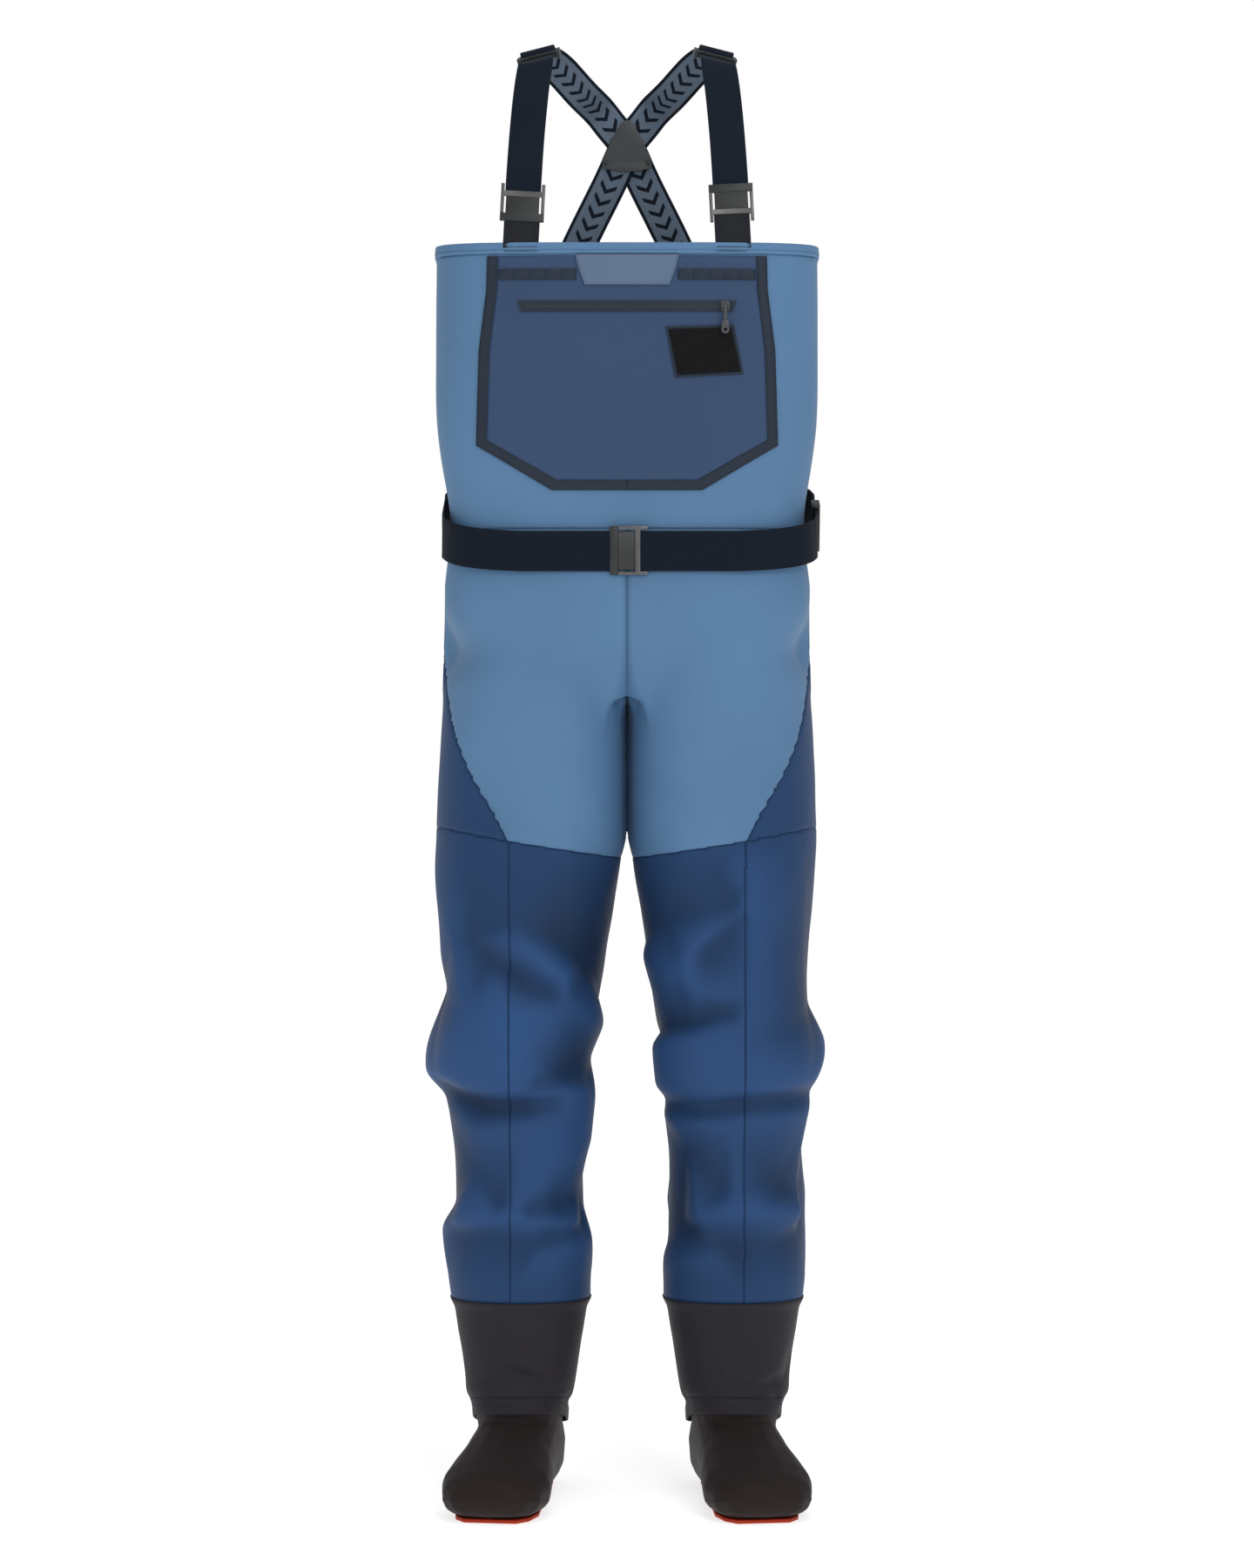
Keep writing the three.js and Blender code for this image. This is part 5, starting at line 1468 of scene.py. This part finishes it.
class WADERS_OT_booties(bpy.types.Operator):
    """Round the neoprene booties over their frames and add the toe seam and the soles"""

    bl_idname = "waders.booties"
    bl_label = "Booties"

    def execute(self, context):
        for side, sign in SIDES.items():
            self.foot(side, sign)
            self.shaft(side, sign)
            self.sole(side)
        return {"FINISHED"}

    def foot(self, side, sign):
        mesh = bpy.data.meshes.new(f"{side}_foot_sock")
        work = bmesh.new()
        work.from_mesh(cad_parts[f"{side}_bootie_foot"].data)
        bmesh.ops.remove_doubles(work, verts=work.verts, dist=0.01 * MM)
        work.to_mesh(mesh)
        work.free()
        piece = settle(mesh, f"{side}_foot_sock", "neoprene_bootie", None, ())
        remesh = piece.modifiers.new("remesh", "REMESH")
        remesh.mode = "VOXEL"
        remesh.voxel_size = 2.2 * MM
        smooth = piece.modifiers.new("smooth", "SMOOTH")
        smooth.factor = 0.5
        smooth.iterations = 14
        evaluated = piece.evaluated_get(bpy.context.evaluated_depsgraph_get())
        shaped = bpy.data.meshes.new_from_object(evaluated)
        bpy.data.objects.remove(piece)
        self.toe_seam(shaped, sign)
        shaped.materials.clear()
        settle(shaped, f"{side}_foot_sock", "neoprene_bootie", "root", [f"{side}_bootie_foot"])

    def toe_seam(self, mesh, sign):
        """A glued ridge round the toe and along both sides, just above the sole."""
        count = len(mesh.vertices)
        place, normal = np.zeros(count * 3, np.float32), np.zeros(count * 3, np.float32)
        mesh.vertices.foreach_get("co", place)
        mesh.vertex_normals.foreach_get("vector", normal)
        place, normal = place.reshape(-1, 3), normal.reshape(-1, 3)
        turn = math.radians(8) * sign
        across = place[:, 0] - ANKLE_X * sign
        ahead = -(place[:, 1] * math.cos(turn) - across * math.sin(turn)) / MM
        height = (place[:, 2] - SOLE_Z) / MM
        line = 17 + 9 * np.clip((ahead - 120) / 90, 0, None) ** 2
        near = np.exp(-(((height - line) / 2.4) ** 2)) * np.clip((ahead - 60) / 60, 0, 1)
        plump = 2.4 * MM * np.clip((height - 6) / 8, 0, 1) * np.clip((95 - height) / 30, 0, 1)
        place = place + normal * (0.9 * MM * near + plump)[:, None]
        place[:, 2] -= 3.2 * MM * np.clip((18 - height) / 12, 0, 1)
        mesh.vertices.foreach_set("co", place.astype(np.float32).ravel())
        mesh.update()

    def shaft(self, side, sign):
        columns, rows = 72, 26
        tree = tree_of("left_bootie_shaft")
        bottom, top = low("left_bootie_shaft").z + 0.2 * MM, high("left_bootie_shaft").z - 0.2 * MM
        grid = np.zeros((rows, columns, 3))
        for i, z in enumerate(np.linspace(bottom, top, rows)):
            for j in range(columns):
                angle = 2 * math.pi * j / columns
                way = Vector((math.sin(angle), -math.cos(angle), 0))
                middle = Vector((ANKLE_X, 4 * MM, z))
                grid[i, j] = tree.ray_cast(middle + way * 0.25, -way, 0.25)[0]
        for axis in (0, 1):
            grid[:, :, axis] = blurred(grid[:, :, axis].T, 1.4, closed=True).T
        grid -= grid_normals(grid) * 0.8 * MM
        points = (grid * (sign, 1, 1)).reshape(-1, 3)
        faces = grid_faces(rows, columns, closed=True)
        if sign < 0:
            faces = [tuple(reversed(f)) for f in faces]
        piece = new_piece(
            f"{side}_sock_shaft", points, faces, "neoprene_bootie", stands_for=[
                f"{side}_bootie_shaft"
            ]
        )
        thicken(piece, 3 * MM)

    def sole(self, side):
        piece = finished_copy(f"{side}_sole", "sole_rubber", "root", bevel=1.2 * MM, segments=3)
        middle = sum((v.co for v in piece.data.vertices), Vector()) / len(piece.data.vertices)
        for vert in piece.data.vertices:
            vert.co.x = middle.x + (vert.co.x - middle.x) * SOLE_WIDTH_SHARE
            vert.co.y = middle.y + (vert.co.y - middle.y) * SOLE_LENGTH_SHARE


# ---------------------------------------------------------------- hardware
HARDWARE = {
    # node: (finish, body, edge radius in millimetres)
    "left_buckle_tongue": ("buckle_metal", "left_buckle_upper", 0.7),
    "left_buckle_frame": ("bright_bar", "root", 0.7),
    "right_buckle_tongue": ("buckle_metal", "root", 0.7),
    "right_buckle_frame": ("bright_bar", "right_buckle_upper", 0.7),
    "belt_tongue": ("buckle_metal", "belt_buckle_tongue", 0.7),
    "belt_frame": ("bright_bar", "root", 0.7),
    "belt_slider": ("buckle_metal", "belt_slider", 0.5),
    "left_shoulder_slider": ("buckle_metal", "left_shoulder_slider", 0.5),
    "right_shoulder_slider": ("buckle_metal", "right_shoulder_slider", 0.5),
    "yoke_plate_inner": ("moulded_plastic", "root", 0.6),
    "yoke_plate_outer": ("moulded_plastic", "root", 0.6),
    "left_yoke_rivet": ("buckle_metal", "root", 0.3),
    "right_yoke_rivet": ("buckle_metal", "root", 0.3),
    "zip_slider": ("moulded_plastic", "zip_slider", 0.25),
    "zip_pull": ("moulded_plastic", "zip_pull", 0.2),
    "zip_grip": ("moulded_plastic", "zip_pull", 0.5),
}


class WADERS_OT_hardware(bpy.types.Operator):
    """Round the edges of the buckles, sliders, plates and rivets and give them their metal"""

    bl_idname = "waders.hardware"
    bl_label = "Hardware"

    def execute(self, context):
        for name, (slot, body, radius) in HARDWARE.items():
            piece = finished_copy(name, slot, body, bevel=radius * MM, segments=2)
        return {"FINISHED"}


# ---------------------------------------------------------------- straps
WEBBING_WIDTH, WEBBING_THICKNESS = 38 * MM, 2 * MM
BELT_SLOPE = 0.328


def across_strap(along, bank):
    """The direction across a strap that runs along a given way; bank is how far its +X edge dips."""
    across = Vector((math.cos(bank), 0, -math.sin(bank)))
    return (across - along * across.dot(along)).normalized()


def spline(points, steps):
    """Points and tangents of a centripetal Catmull-Rom curve, evenly spread over its stops."""
    stops = [2 * points[0] - points[1], *points, 2 * points[-1] - points[-2]]
    made = []
    for i in range(steps + 1):
        place = i / steps * (len(points) - 1)
        k = min(len(points) - 2, int(place))
        t = place - k
        a, b, c, d = stops[k : k + 4]
        t0, t1, t2 = ((q - p).length ** 0.5 for p, q in ((a, b), (b, c), (c, d)))
        m1 = ((b - a) / t0 - (c - a) / (t0 + t1) + (c - b) / t1) * t1
        m2 = ((c - b) / t1 - (d - b) / (t1 + t2) + (d - c) / t2) * t1
        here = (
            (2 * t**3 - 3 * t**2 + 1) * b + (t**3 - 2 * t**2 + t) * m1
            + (3 * t**2 - 2 * t**3) * c + (t**3 - t**2) * m2
        )
        way = (
            (6 * t**2 - 6 * t) * b + (3 * t**2 - 4 * t + 1) * m1
            + (6 * t - 6 * t**2) * c + (3 * t**2 - 2 * t) * m2
        )
        made.append((place, here, way.normalized()))
    return made


def strap_route(side, steps):
    """Middle points, ways along, across and out of a strap from the bib over one shoulder, across
    the back and down to the other side. The strap that carries the wearer's right shoulder crosses
    outside the other one."""
    front_top, shoulder = z_at(1344), 0.0
    yoke_y = 115 * MM + (0 if side == "left" else 2.3 * MM)
    back_top = z_at(1312)
    foot = Vector((113 * MM, -120 * MM, front_top))
    up = Vector((-0.05, 0.09, 1)).normalized()
    over = Vector((-0.045, 0.95, 0.28)).normalized()
    top = Vector((95 * MM, 0, shoulder + 1 * MM))
    start = STRAP_STARTS[side]
    hit = SHELL["tree"].ray_cast(Vector((76 * MM, 0.5, back_top - 35 * MM)), Vector((0, -1, 0)))[0]
    lap_y = hit.y + 2.3 * MM

    def on_back(distance):
        lean = math.radians(25 if distance < 0 else 38)
        step = distance * MM
        here = Vector((step * math.sin(lean), yoke_y, z_at(1484) + step * math.cos(lean)))
        return here, math.degrees(lean)

    rise = shoulder - front_top
    stops = [(foot + up * start, 3), (foot + up * 71.3 * MM, 3)]
    stops.append((Vector((106.5 * MM, -92 * MM, front_top + rise * 0.56)), 6))
    stops.append((Vector((102 * MM, -76 * MM, front_top + rise * 0.79)), 10))
    stops += [(top + over * step * MM, 15) for step in (-66, -58, -29, 0, 8)]
    stops.append((Vector((90 * MM, 22 * MM, top.z + 2.5 * MM)), 20))
    stops.append((Vector((75 * MM, 44 * MM, top.z - 6 * MM)), 28))
    stops.append((Vector((50 * MM, 77 * MM, top.z - 28 * MM)), 38))
    stops += [on_back(distance) for distance in (48, 32, 0, -32, -48)]
    stops.append((Vector((-76 * 0.82 * MM, lap_y - 1 * MM, back_top + 42 * MM)), 25))
    stops.append((Vector((-72 * MM, lap_y + 1.2 * MM, back_top + 10 * MM)), 25))
    lean = math.radians(25)
    for down in (2, 18, 30, 42):
        x, z = -76 * MM - down * MM * math.sin(lean), back_top - down * MM * math.cos(lean)
        y = on_front(x, min(z, back_top - 20 * MM), 0, 1).y + (4.6 if down < 10 else 3.6) * MM
        stops.append((Vector((x, y, z)), 25))
    route = []
    for place, here, way in spline([p for p, _ in stops], steps):
        k = min(len(stops) - 2, int(place))
        bank = stops[k][1] + (stops[k + 1][1] - stops[k][1]) * (place - k)
        across = across_strap(way, math.radians(bank))
        route.append((here, way, across, across.cross(way)))
    sign = SIDES[side]
    if sign < 0:
        flip = Vector((-1, 1, 1))
        route = [(p * flip, w * flip, a * flip, o * flip) for p, w, a, o in route]
    return route


STRAP_STARTS = {"left": 63.6 * MM, "right": 55.6 * MM}  # above the bib's front edge


def ribbon(
    name, route, slot, body, stands_for=(), width=WEBBING_WIDTH, thickness=WEBBING_THICKNESS, run=0.0
):
    """Webbing with rounded selvedges along a route; its UVs are metres across and along."""
    half, thick = width / 2, thickness / 2
    section = [(-1, 0), (-0.985, 0.75), (-0.9, 1), (-0.45, 1)]
    section += [(0, 1), (0.45, 1), (0.9, 1), (0.985, 0.75)]
    section += [(-w, -n) for w, n in section]
    points, uvs = [], []
    for k, (here, _, across, out) in enumerate(route):
        run += (here - route[k - 1][0]).length if k else 0.0
        for w, n in section:
            points.append(here + across * w * half - out * n * thick)
            uvs.append((w * half, run))
    count = len(section)
    faces = grid_faces(len(route), count, closed=True)
    last = (len(route) - 1) * count
    faces += [tuple(range(count)), tuple(range(last, last + count))]
    faces = outward_faces(points, faces)
    piece = new_piece(name, points, faces, slot, body, stands_for, uv=uvs)
    piece.data.set_sharp_from_angle(angle=math.radians(60))
    return piece


class WADERS_OT_straps(bpy.types.Operator):
    """Weave the suspenders: plain webbing in front, printed webbing over the back"""

    bl_idname = "waders.straps"
    bl_label = "Suspenders"

    def execute(self, context):
        for side, sign in SIDES.items():
            route = strap_route(side, 420)
            join = next(
                k for k, stop in enumerate(route) if stop[0].y > 12 * MM and stop[0].z > -0.05
            )
            plain, printed = route[: join + 1], route[join:]
            strap = ribbon(
                f"{side}_shoulder_webbing", plain, "strap_webbing", None, [f"{side}_shoulder_strap"]
            )
            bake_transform(strap)
            ribbon(
                f"{side}_back_webbing", printed, "printed_webbing", "root", [f"{side}_back_strap"]
            )
            self.front_web(side, sign)
            self.lap(side, sign)
            self.fold(side)
        return {"FINISHED"}

    def front_web(self, side, sign):
        """The ribbed webbing between the hem and the buckle."""
        node_name = f"{side}_front_webbing"
        bottom = Vector((113 * MM * sign, -120 * MM, z_at(1344) - 6 * MM))
        up = Vector((-0.05 * sign, 0.09, 1)).normalized()
        length = (high(node_name).z - bottom.z) / up.z - 0.4 * MM
        across = across_strap(up, math.radians(3) * sign)
        out = across.cross(up)
        route = [(bottom + up * length * k / 24, up, across, out) for k in range(25)]
        ribbon(f"{side}_front_web", route, "ribbed_webbing", "root", [node_name])
        face = WEBBING_THICKNESS / 2
        line = [(here + out * face, across) for here, *_ in route]
        grown(
            f"{side}_web_ribs", [line], rib_tree(), "ribbed_webbing", Pitch=sizes().rib_pitch,
            Width=WEBBING_WIDTH - 2 * MM, Radius=0.55 * MM,
        )

    def lap(self, side, sign):
        """Bar tacks over the printed webbing's end on the bib's back."""
        lean = math.radians(25)
        corners = []
        for u, v in ((-15, -38), (15, -38), (15, -14), (-15, -14)):
            x = (u * math.cos(lean) + v * math.sin(lean) - 76) * MM
            z = z_at(v * math.cos(lean) - u * math.sin(lean) + 1312)
            corners.append((x * sign, z))
        box = [*corners, corners[0], corners[2], corners[3], corners[1]]
        row = [on_front(p.x, p.y, 3.9 * MM, 1) for p in along_line(box, 4 * MM)]
        stitched(f"{side}_lap_stitches", [row], "dark_thread")

    def fold(self, side):
        piece = finished_copy(
            f"{side}_strap_fold", "strap_webbing", f"{side}_shoulder_slider", bevel=0.5 * MM
        )
        unwrap_by_box(piece.data)


def unwrap_by_box(mesh):
    """UVs in metres straight from the coordinates, for small webbing pieces."""
    layer = mesh.uv_layers.get("UVMap") or mesh.uv_layers.new(name="UVMap")
    for loop in mesh.loops:
        place = mesh.vertices[loop.vertex_index].co
        layer.data[loop.index].uv = (place.x, place.y + place.z)


# ---------------------------------------------------------------- belt
class WADERS_OT_belt(bpy.types.Operator):
    """Lay the wading belt round the waist and behind through its loops"""

    bl_idname = "waders.belt"
    bl_label = "Wading Belt"

    def execute(self, context):
        front, body = self.routes()
        strap = ribbon(
            "belt_webbing_front", front, "strap_webbing", None, ["belt_front_strap"],
            BELT_WIDTH, BELT_THICKNESS,
        )
        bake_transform(strap)
        ribbon(
            "belt_webbing", body, "strap_webbing", "root", ["belt_body_strap"],
            BELT_WIDTH, BELT_THICKNESS,
        )
        for side in SIDES:
            piece = finished_copy(f"{side}_belt_loop", "upper_fabric", "root", bevel=0.5 * MM)
            unwrap_by_box(piece.data)
        return {"FINISHED"}

    def routes(self):
        """The belt's middle line, measured on its CAD body, from its seam on the wearer's right round
        the front to the buckle, and on from the buckle round the back."""
        tree = tree_of("belt_front_strap", "belt_body_strap")
        middle_z = z_at(1057)
        stops = []
        for k in range(240):
            angle = 2 * math.pi * k / 240
            way = Vector((math.sin(angle), -math.cos(angle), BELT_SLOPE * -math.cos(angle)))
            origin = Vector((3 * MM, 0, middle_z))
            hit = tree.ray_cast(origin + way * 0.35, -way, 0.35)[0]
            stops.append(hit - Vector((way.x, way.y, 0)).normalized() * 1.3 * MM if hit else None)
        ring = [(k, p) for k, p in enumerate(stops) if p is not None]
        ends = {"tongue": high("belt_front_strap").x, "frame": low_front_x("belt_body_strap")}
        seam = 180
        front = [p for k, p in ring if seam < k and p.x < ends["tongue"] - 0.3 * MM and p.y < 0]
        front.append(Vector((ends["tongue"], front[-1].y, front[-1].z)))
        body = [
            p for k, p in ring
            if k <= seam and not (p.y < 0 and p.x < ends["frame"] + 0.3 * MM and p.x > -0.1)
        ]
        body.insert(0, Vector((ends["frame"], body[0].y, body[0].z)))
        return self.route(front), self.route(body)

    def route(self, points):
        made = []
        for k, here in enumerate(points):
            way = (points[min(k + 1, len(points) - 1)] - points[max(k - 1, 0)]).normalized()
            out = Vector((way.y, -way.x, 0)).normalized()
            up = out.cross(way).normalized()
            up = up if up.z > 0 else -up
            made.append((here, way, up, up.cross(way)))
        return made


def low_front_x(node_name):
    """Where a belt's end comes to in front, on the wearer's left of the buckle."""
    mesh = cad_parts[node_name].data
    return min(v.co.x for v in mesh.vertices if v.co.y < -0.1)


# ---------------------------------------------------------------- chest pocket
POCKET_TOP = 1330


def pocket_side(inset, top):
    """One side of the pocket's outline from its top to the middle of its foot, in millimetres."""
    half = 160 - inset
    return [
        (half - 12, top),
        (half - 11, POCKET_TOP - 36),
        (half - 3, POCKET_TOP - 100),
        (half, POCKET_TOP - 200 + inset / 2),
        (half * 0.5, POCKET_TOP - 248 + inset),
        (0, POCKET_TOP - 248 + inset),
    ]


def front_view(outline, sign=1):
    return [(x * sign * MM, z_at(height)) for x, height in outline]


def zip_lift(x, z):
    """Height of the pocket's cloth off the bib; the flat zip holds it level beside the zip."""
    near = math.exp(-(((z - z_at(1276)) / (13 * MM)) ** 2)) * min(
        1.0, max(0.0, (0.125 - abs(x)) / 0.02)
    )
    flat = ZIP_BACK - SHELL["tree"].ray_cast(Vector((x, -0.5, z)), Vector((0, 1, 0)))[0].y
    return 0.4 * MM + near * max(0.0, -flat - 1.7 * MM)


ZIP_BACK = high("zip_tape").y


class WADERS_OT_pocket(bpy.types.Operator):
    """Bond the chest pocket with its tape, tab, zip, daisy chains and fly patch"""

    bl_idname = "waders.pocket"
    bl_label = "Chest Pocket"

    def execute(self, context):
        self.panel()
        self.tape()
        self.tab()
        self.daisy_chains()
        self.zip()
        self.patch()
        return {"FINISHED"}

    def panel(self):
        """The pocket's cloth, with soft puckers along the zip."""
        side = pocket_side(10, POCKET_TOP)[:-1]
        rails = (front_view(side, -1), front_view(side, 1))
        sewn_sheet(
            "pocket_cloth", rails, "pocket_fabric", self.puckered, 1.1 * MM, ["pocket_panel"],
            across=70,
        )

    def puckered(self, x, z):
        rise = zip_lift(x, z)
        soft = noise.noise(Vector((x * 22, 0.7, z * 30))) * 0.5 * MM
        return rise + max(0.0, soft)

    def tape(self):
        outer, inner = pocket_side(0, POCKET_TOP), pocket_side(11, POCKET_TOP)
        outer[-1] = (0, outer[-1][1])
        for sign, name in ((1, "left"), (-1, "right")):
            stands = ["pocket_tape"] if sign > 0 else []
            sewn_sheet(
                f"pocket_binding_{name}", (front_view(outer, sign), front_view(inner, sign)),
                "binding_tape", 1.0 * MM, 1.1 * MM, stands, across=5,
            )
        lines = []
        for inset in (1.6, 9.2):
            side = pocket_side(inset, POCKET_TOP)
            row = front_view(side, -1) + front_view(side[::-1], 1)
            lines.append([on_front(p.x, p.y, 2.15 * MM) for p in along_line(row, 5 * MM)])
        stitched("pocket_stitches", lines, "dark_thread")

    def tab(self):
        left = [(-55, 1331), (-52, 1318), (-45, 1299)]
        right = [(-x, height) for x, height in left]
        sewn_sheet(
            "front_tab_cloth", (front_view(left), front_view(right)), "tab_fabric", 2.6 * MM, 1.0 * MM,
            ["front_tab"], step=3 * MM, across=30,
        )
        edge = [(-53, 1330), (-50, 1318), (-43.4, 1300.6), (43.4, 1300.6), (50, 1318), (53, 1330)]
        row = [on_front(p.x, p.y, 3.7 * MM) for p in along_line(front_view(edge), 4 * MM)]
        stitched("front_tab_stitches", [row], "upper_thread")

    def daisy_chains(self):
        """Narrow webbing held at intervals, so that it bows out between its tacks."""
        start, end, tacks = 54, 136, 5
        for side, sign in SIDES.items():
            left, right = (start, end) if sign > 0 else (-end, -start)

            def bowed(x, z):
                share = (abs(x) / MM - start) / (end - start) * tacks
                return 1.9 * MM + 1.1 * MM * abs(math.sin(math.pi * share))

            count = 60
            rows = [left + (right - left) * k / count for k in range(count + 1)]
            rails = (
                front_view([(x, 1315.5) for x in rows]), front_view([(x, 1304.5) for x in rows])
            )
            sewn_sheet(
                f"{side}_daisy_webbing", rails, "binding_tape", bowed, 0.9 * MM, [
                    f"{side}_daisy_chain"
                ],
                step=20 * MM, across=4,
            )
            tack_rows = []
            for k in range(tacks + 1):
                x = (start + (end - start) * k / tacks) * sign
                x += (-1.2 if k == tacks else 1.2 if k == 0 else 0) * sign
                line = front_view([(x, 1314.5), (x, 1305.5)])
                tack_rows.append([on_front(p.x, p.y, 3.0 * MM) for p in along_line(line, 1.5 * MM)])
            stitched(
                f"{side}_daisy_tacks", tack_rows, "lower_thread", Pitch=0.9 * MM, Length=2.2 * MM
            )

    def zip(self):
        """Bonded zip tape with a raised lip on both sides of the coil."""
        back = ZIP_BACK
        lower, upper = z_at(1276) - 6 * MM, z_at(1276) + 6 * MM
        profile = [(0.0, 0.7), (0.1, 1.5), (0.42, 1.6), (0.46, 1.2)]
        profile += [(0.54, 1.2), (0.58, 1.6), (0.9, 1.5), (1.0, 0.7)]
        columns = 60
        points, uvs = [], []
        for share, out in profile:
            z = lower + (upper - lower) * share
            half = (112 + 4 * share) * MM
            for j in range(columns):
                x = -half + 2 * half * j / (columns - 1)
                points.append((x, back - out * MM, z))
                uvs.append((x, z))
        faces = [tuple(reversed(f)) for f in grid_faces(len(profile), columns)]
        if facing(points, faces[0]).y > 0:
            faces = [tuple(reversed(f)) for f in faces]
        new_piece("zip_binding", points, faces, "binding_tape", "root", ["zip_tape"], uv=uvs)
        line = [
            (Vector((x * MM, back - 1.35 * MM, (lower + upper) / 2)), (0, 0, 1)) for x in range(
                -108, 110
            )
        ]
        grown(
            "zip_coil", [line], rib_tree(), "moulded_plastic",
            Pitch=1.3 * MM, Width=2.2 * MM, Radius=0.4 * MM,
        )

    def patch(self):
        border, foam = self.patch_outline(0), self.patch_outline(3.3)
        ring = [*border, border[0]]
        inner = self.patch_outline(3)
        sewn_sheet(
            "patch_welt", (front_view(ring), front_view([*inner, inner[0]])), "binding_tape", 2.3 * MM,
            0.8 * MM, ["fly_patch_border"], step=3 * MM, across=3,
        )
        left, right = [foam[3], foam[0]], [foam[2], foam[1]]
        sewn_sheet(
            "patch_pad", (front_view(left), front_view(right)), "patch_foam", self.shaggy, 1.6 * MM,
            ["fly_patch"], step=0.9 * MM, across=74,
        )

    def shaggy(self, x, z):
        place = Vector((x * 900, 0.2, z * 900))
        return 2.6 * MM + 0.45 * MM * noise.noise(place) + 0.3 * MM * noise.noise(place * 2.1)

    def patch_outline(self, inset):
        half, rise = 36 - inset, 26.5 - inset
        corners = [
            (5 - half, -rise - 2), (5 + half, -rise + 2),
            (half - 5, rise + 1), (-half - 5, rise - 1),
        ]
        return [(82 + x, 1229 + z) for x, z in corners]


# ---------------------------------------------------------------- stage
class WADERS_OT_stage(bpy.types.Operator):
    """Set the pale floor, the soft studio light and the camera"""

    bl_idname = "waders.stage"
    bl_label = "Stage"

    def execute(self, context):
        scene = context.scene
        floor = bpy.data.meshes.new("floor")
        reach = 60.0
        floor.from_pydata(
            [
                (-reach, -reach, SOLE_Z), (reach, -reach, SOLE_Z),
                (reach, reach, SOLE_Z), (-reach, reach, SOLE_Z),
            ],
            [],
            [(0, 1, 2, 3)],
        )
        surface, _, principled = new_material(
            "pale_floor", {"Roughness": 0.9, "Specular IOR Level": 0.1}
        )
        principled["Base Color"].default_value = (0.72, 0.72, 0.72, 1)
        principled["Emission Color"].default_value = (1, 1, 1, 1)
        principled["Emission Strength"].default_value = 0.68
        floor.materials.append(surface)
        plane = bpy.data.objects.new("floor", floor)
        scene.collection.objects.link(plane)
        self.world(scene)
        self.lights(scene)
        camera = bpy.data.cameras.new("camera")
        camera.sensor_width = 36
        camera.lens = 90.5
        camera.clip_end = 200
        holder = bpy.data.objects.new("camera", camera)
        holder.location = (0, -4.3, SOLE_Z + 0.77)
        holder.rotation_euler = (math.radians(90), 0, 0)
        scene.collection.objects.link(holder)
        scene.camera = holder
        scene.view_settings.view_transform = "Standard"
        scene.view_settings.look = "None"
        return {"FINISHED"}

    def world(self, scene):
        world = bpy.data.worlds.new("studio")
        world.use_nodes = True
        tree = world.node_tree
        tree.nodes.clear()
        back = node(tree, "ShaderNodeBackground", {"Color": (1, 1, 1, 1), "Strength": 0.46})
        seen = node(tree, "ShaderNodeBackground", {"Color": (1, 1, 1, 1), "Strength": 1.0})
        path = node(tree, "ShaderNodeLightPath").outputs["Is Camera Ray"]
        both = node(tree, "ShaderNodeMixShader", {0: path, 1: back.outputs[0], 2: seen.outputs[0]})
        node(tree, "ShaderNodeOutputWorld", {"Surface": both.outputs[0]})
        scene.world = world

    def lights(self, scene):
        rows = (
            ("key", (1.5, -3.6, 1.2), (0, 0, -0.75), 1.8, 40.0),
            ("fill", (-2.2, -3.2, 0.2), (0, 0, -0.85), 2.2, 9.0),
            ("top", (0.3, -0.6, 1.9), (0, 0, -0.6), 1.2, 16.0),
        )
        for name, place, target, size, power in rows:
            lamp = bpy.data.lights.new(name, "AREA")
            lamp.size = size
            lamp.energy = power
            holder = bpy.data.objects.new(name, lamp)
            holder.location = place
            way = Vector(target) - Vector(place)
            holder.rotation_euler = way.to_track_quat("-Z", "Y").to_euler()
            scene.collection.objects.link(holder)


# ---------------------------------------------------------------- panel and registration
class WADERS_PT_panel(bpy.types.Panel):
    """Lists the sizes, the colours and the steps that make the waders"""

    bl_idname = "WADERS_PT_panel"
    bl_label = "Chest Waders"
    bl_space_type = "VIEW_3D"
    bl_region_type = "UI"
    bl_category = "Waders"

    def draw(self, context):
        for group in (context.scene.wader_sizes, context.scene.wader_colours):
            box = self.layout.box()
            for key in group.__annotations__:
                box.prop(group, key)
        for step in STEPS:
            self.layout.operator(step.bl_idname)


STEPS = (
    WADERS_OT_shell,
    WADERS_OT_hem,
    WADERS_OT_seams,
    WADERS_OT_guards,
    WADERS_OT_booties,
    WADERS_OT_hardware,
    WADERS_OT_straps,
    WADERS_OT_belt,
    WADERS_OT_pocket,
    WADERS_OT_stage,
)
CLASSES = (WaderSizes, WaderColours, *STEPS, WADERS_PT_panel)


def register():
    for cls in CLASSES:
        bpy.utils.register_class(cls)
    bpy.types.Scene.wader_sizes = PointerProperty(type=WaderSizes)
    bpy.types.Scene.wader_colours = PointerProperty(type=WaderColours)


def unregister():
    del bpy.types.Scene.wader_sizes
    del bpy.types.Scene.wader_colours
    for cls in reversed(CLASSES):
        bpy.utils.unregister_class(cls)


def main():
    register()
    for step in STEPS:
        group, name = step.bl_idname.split(".")
        getattr(getattr(bpy.ops, group), name)()


if __name__ == "__main__":
    main()
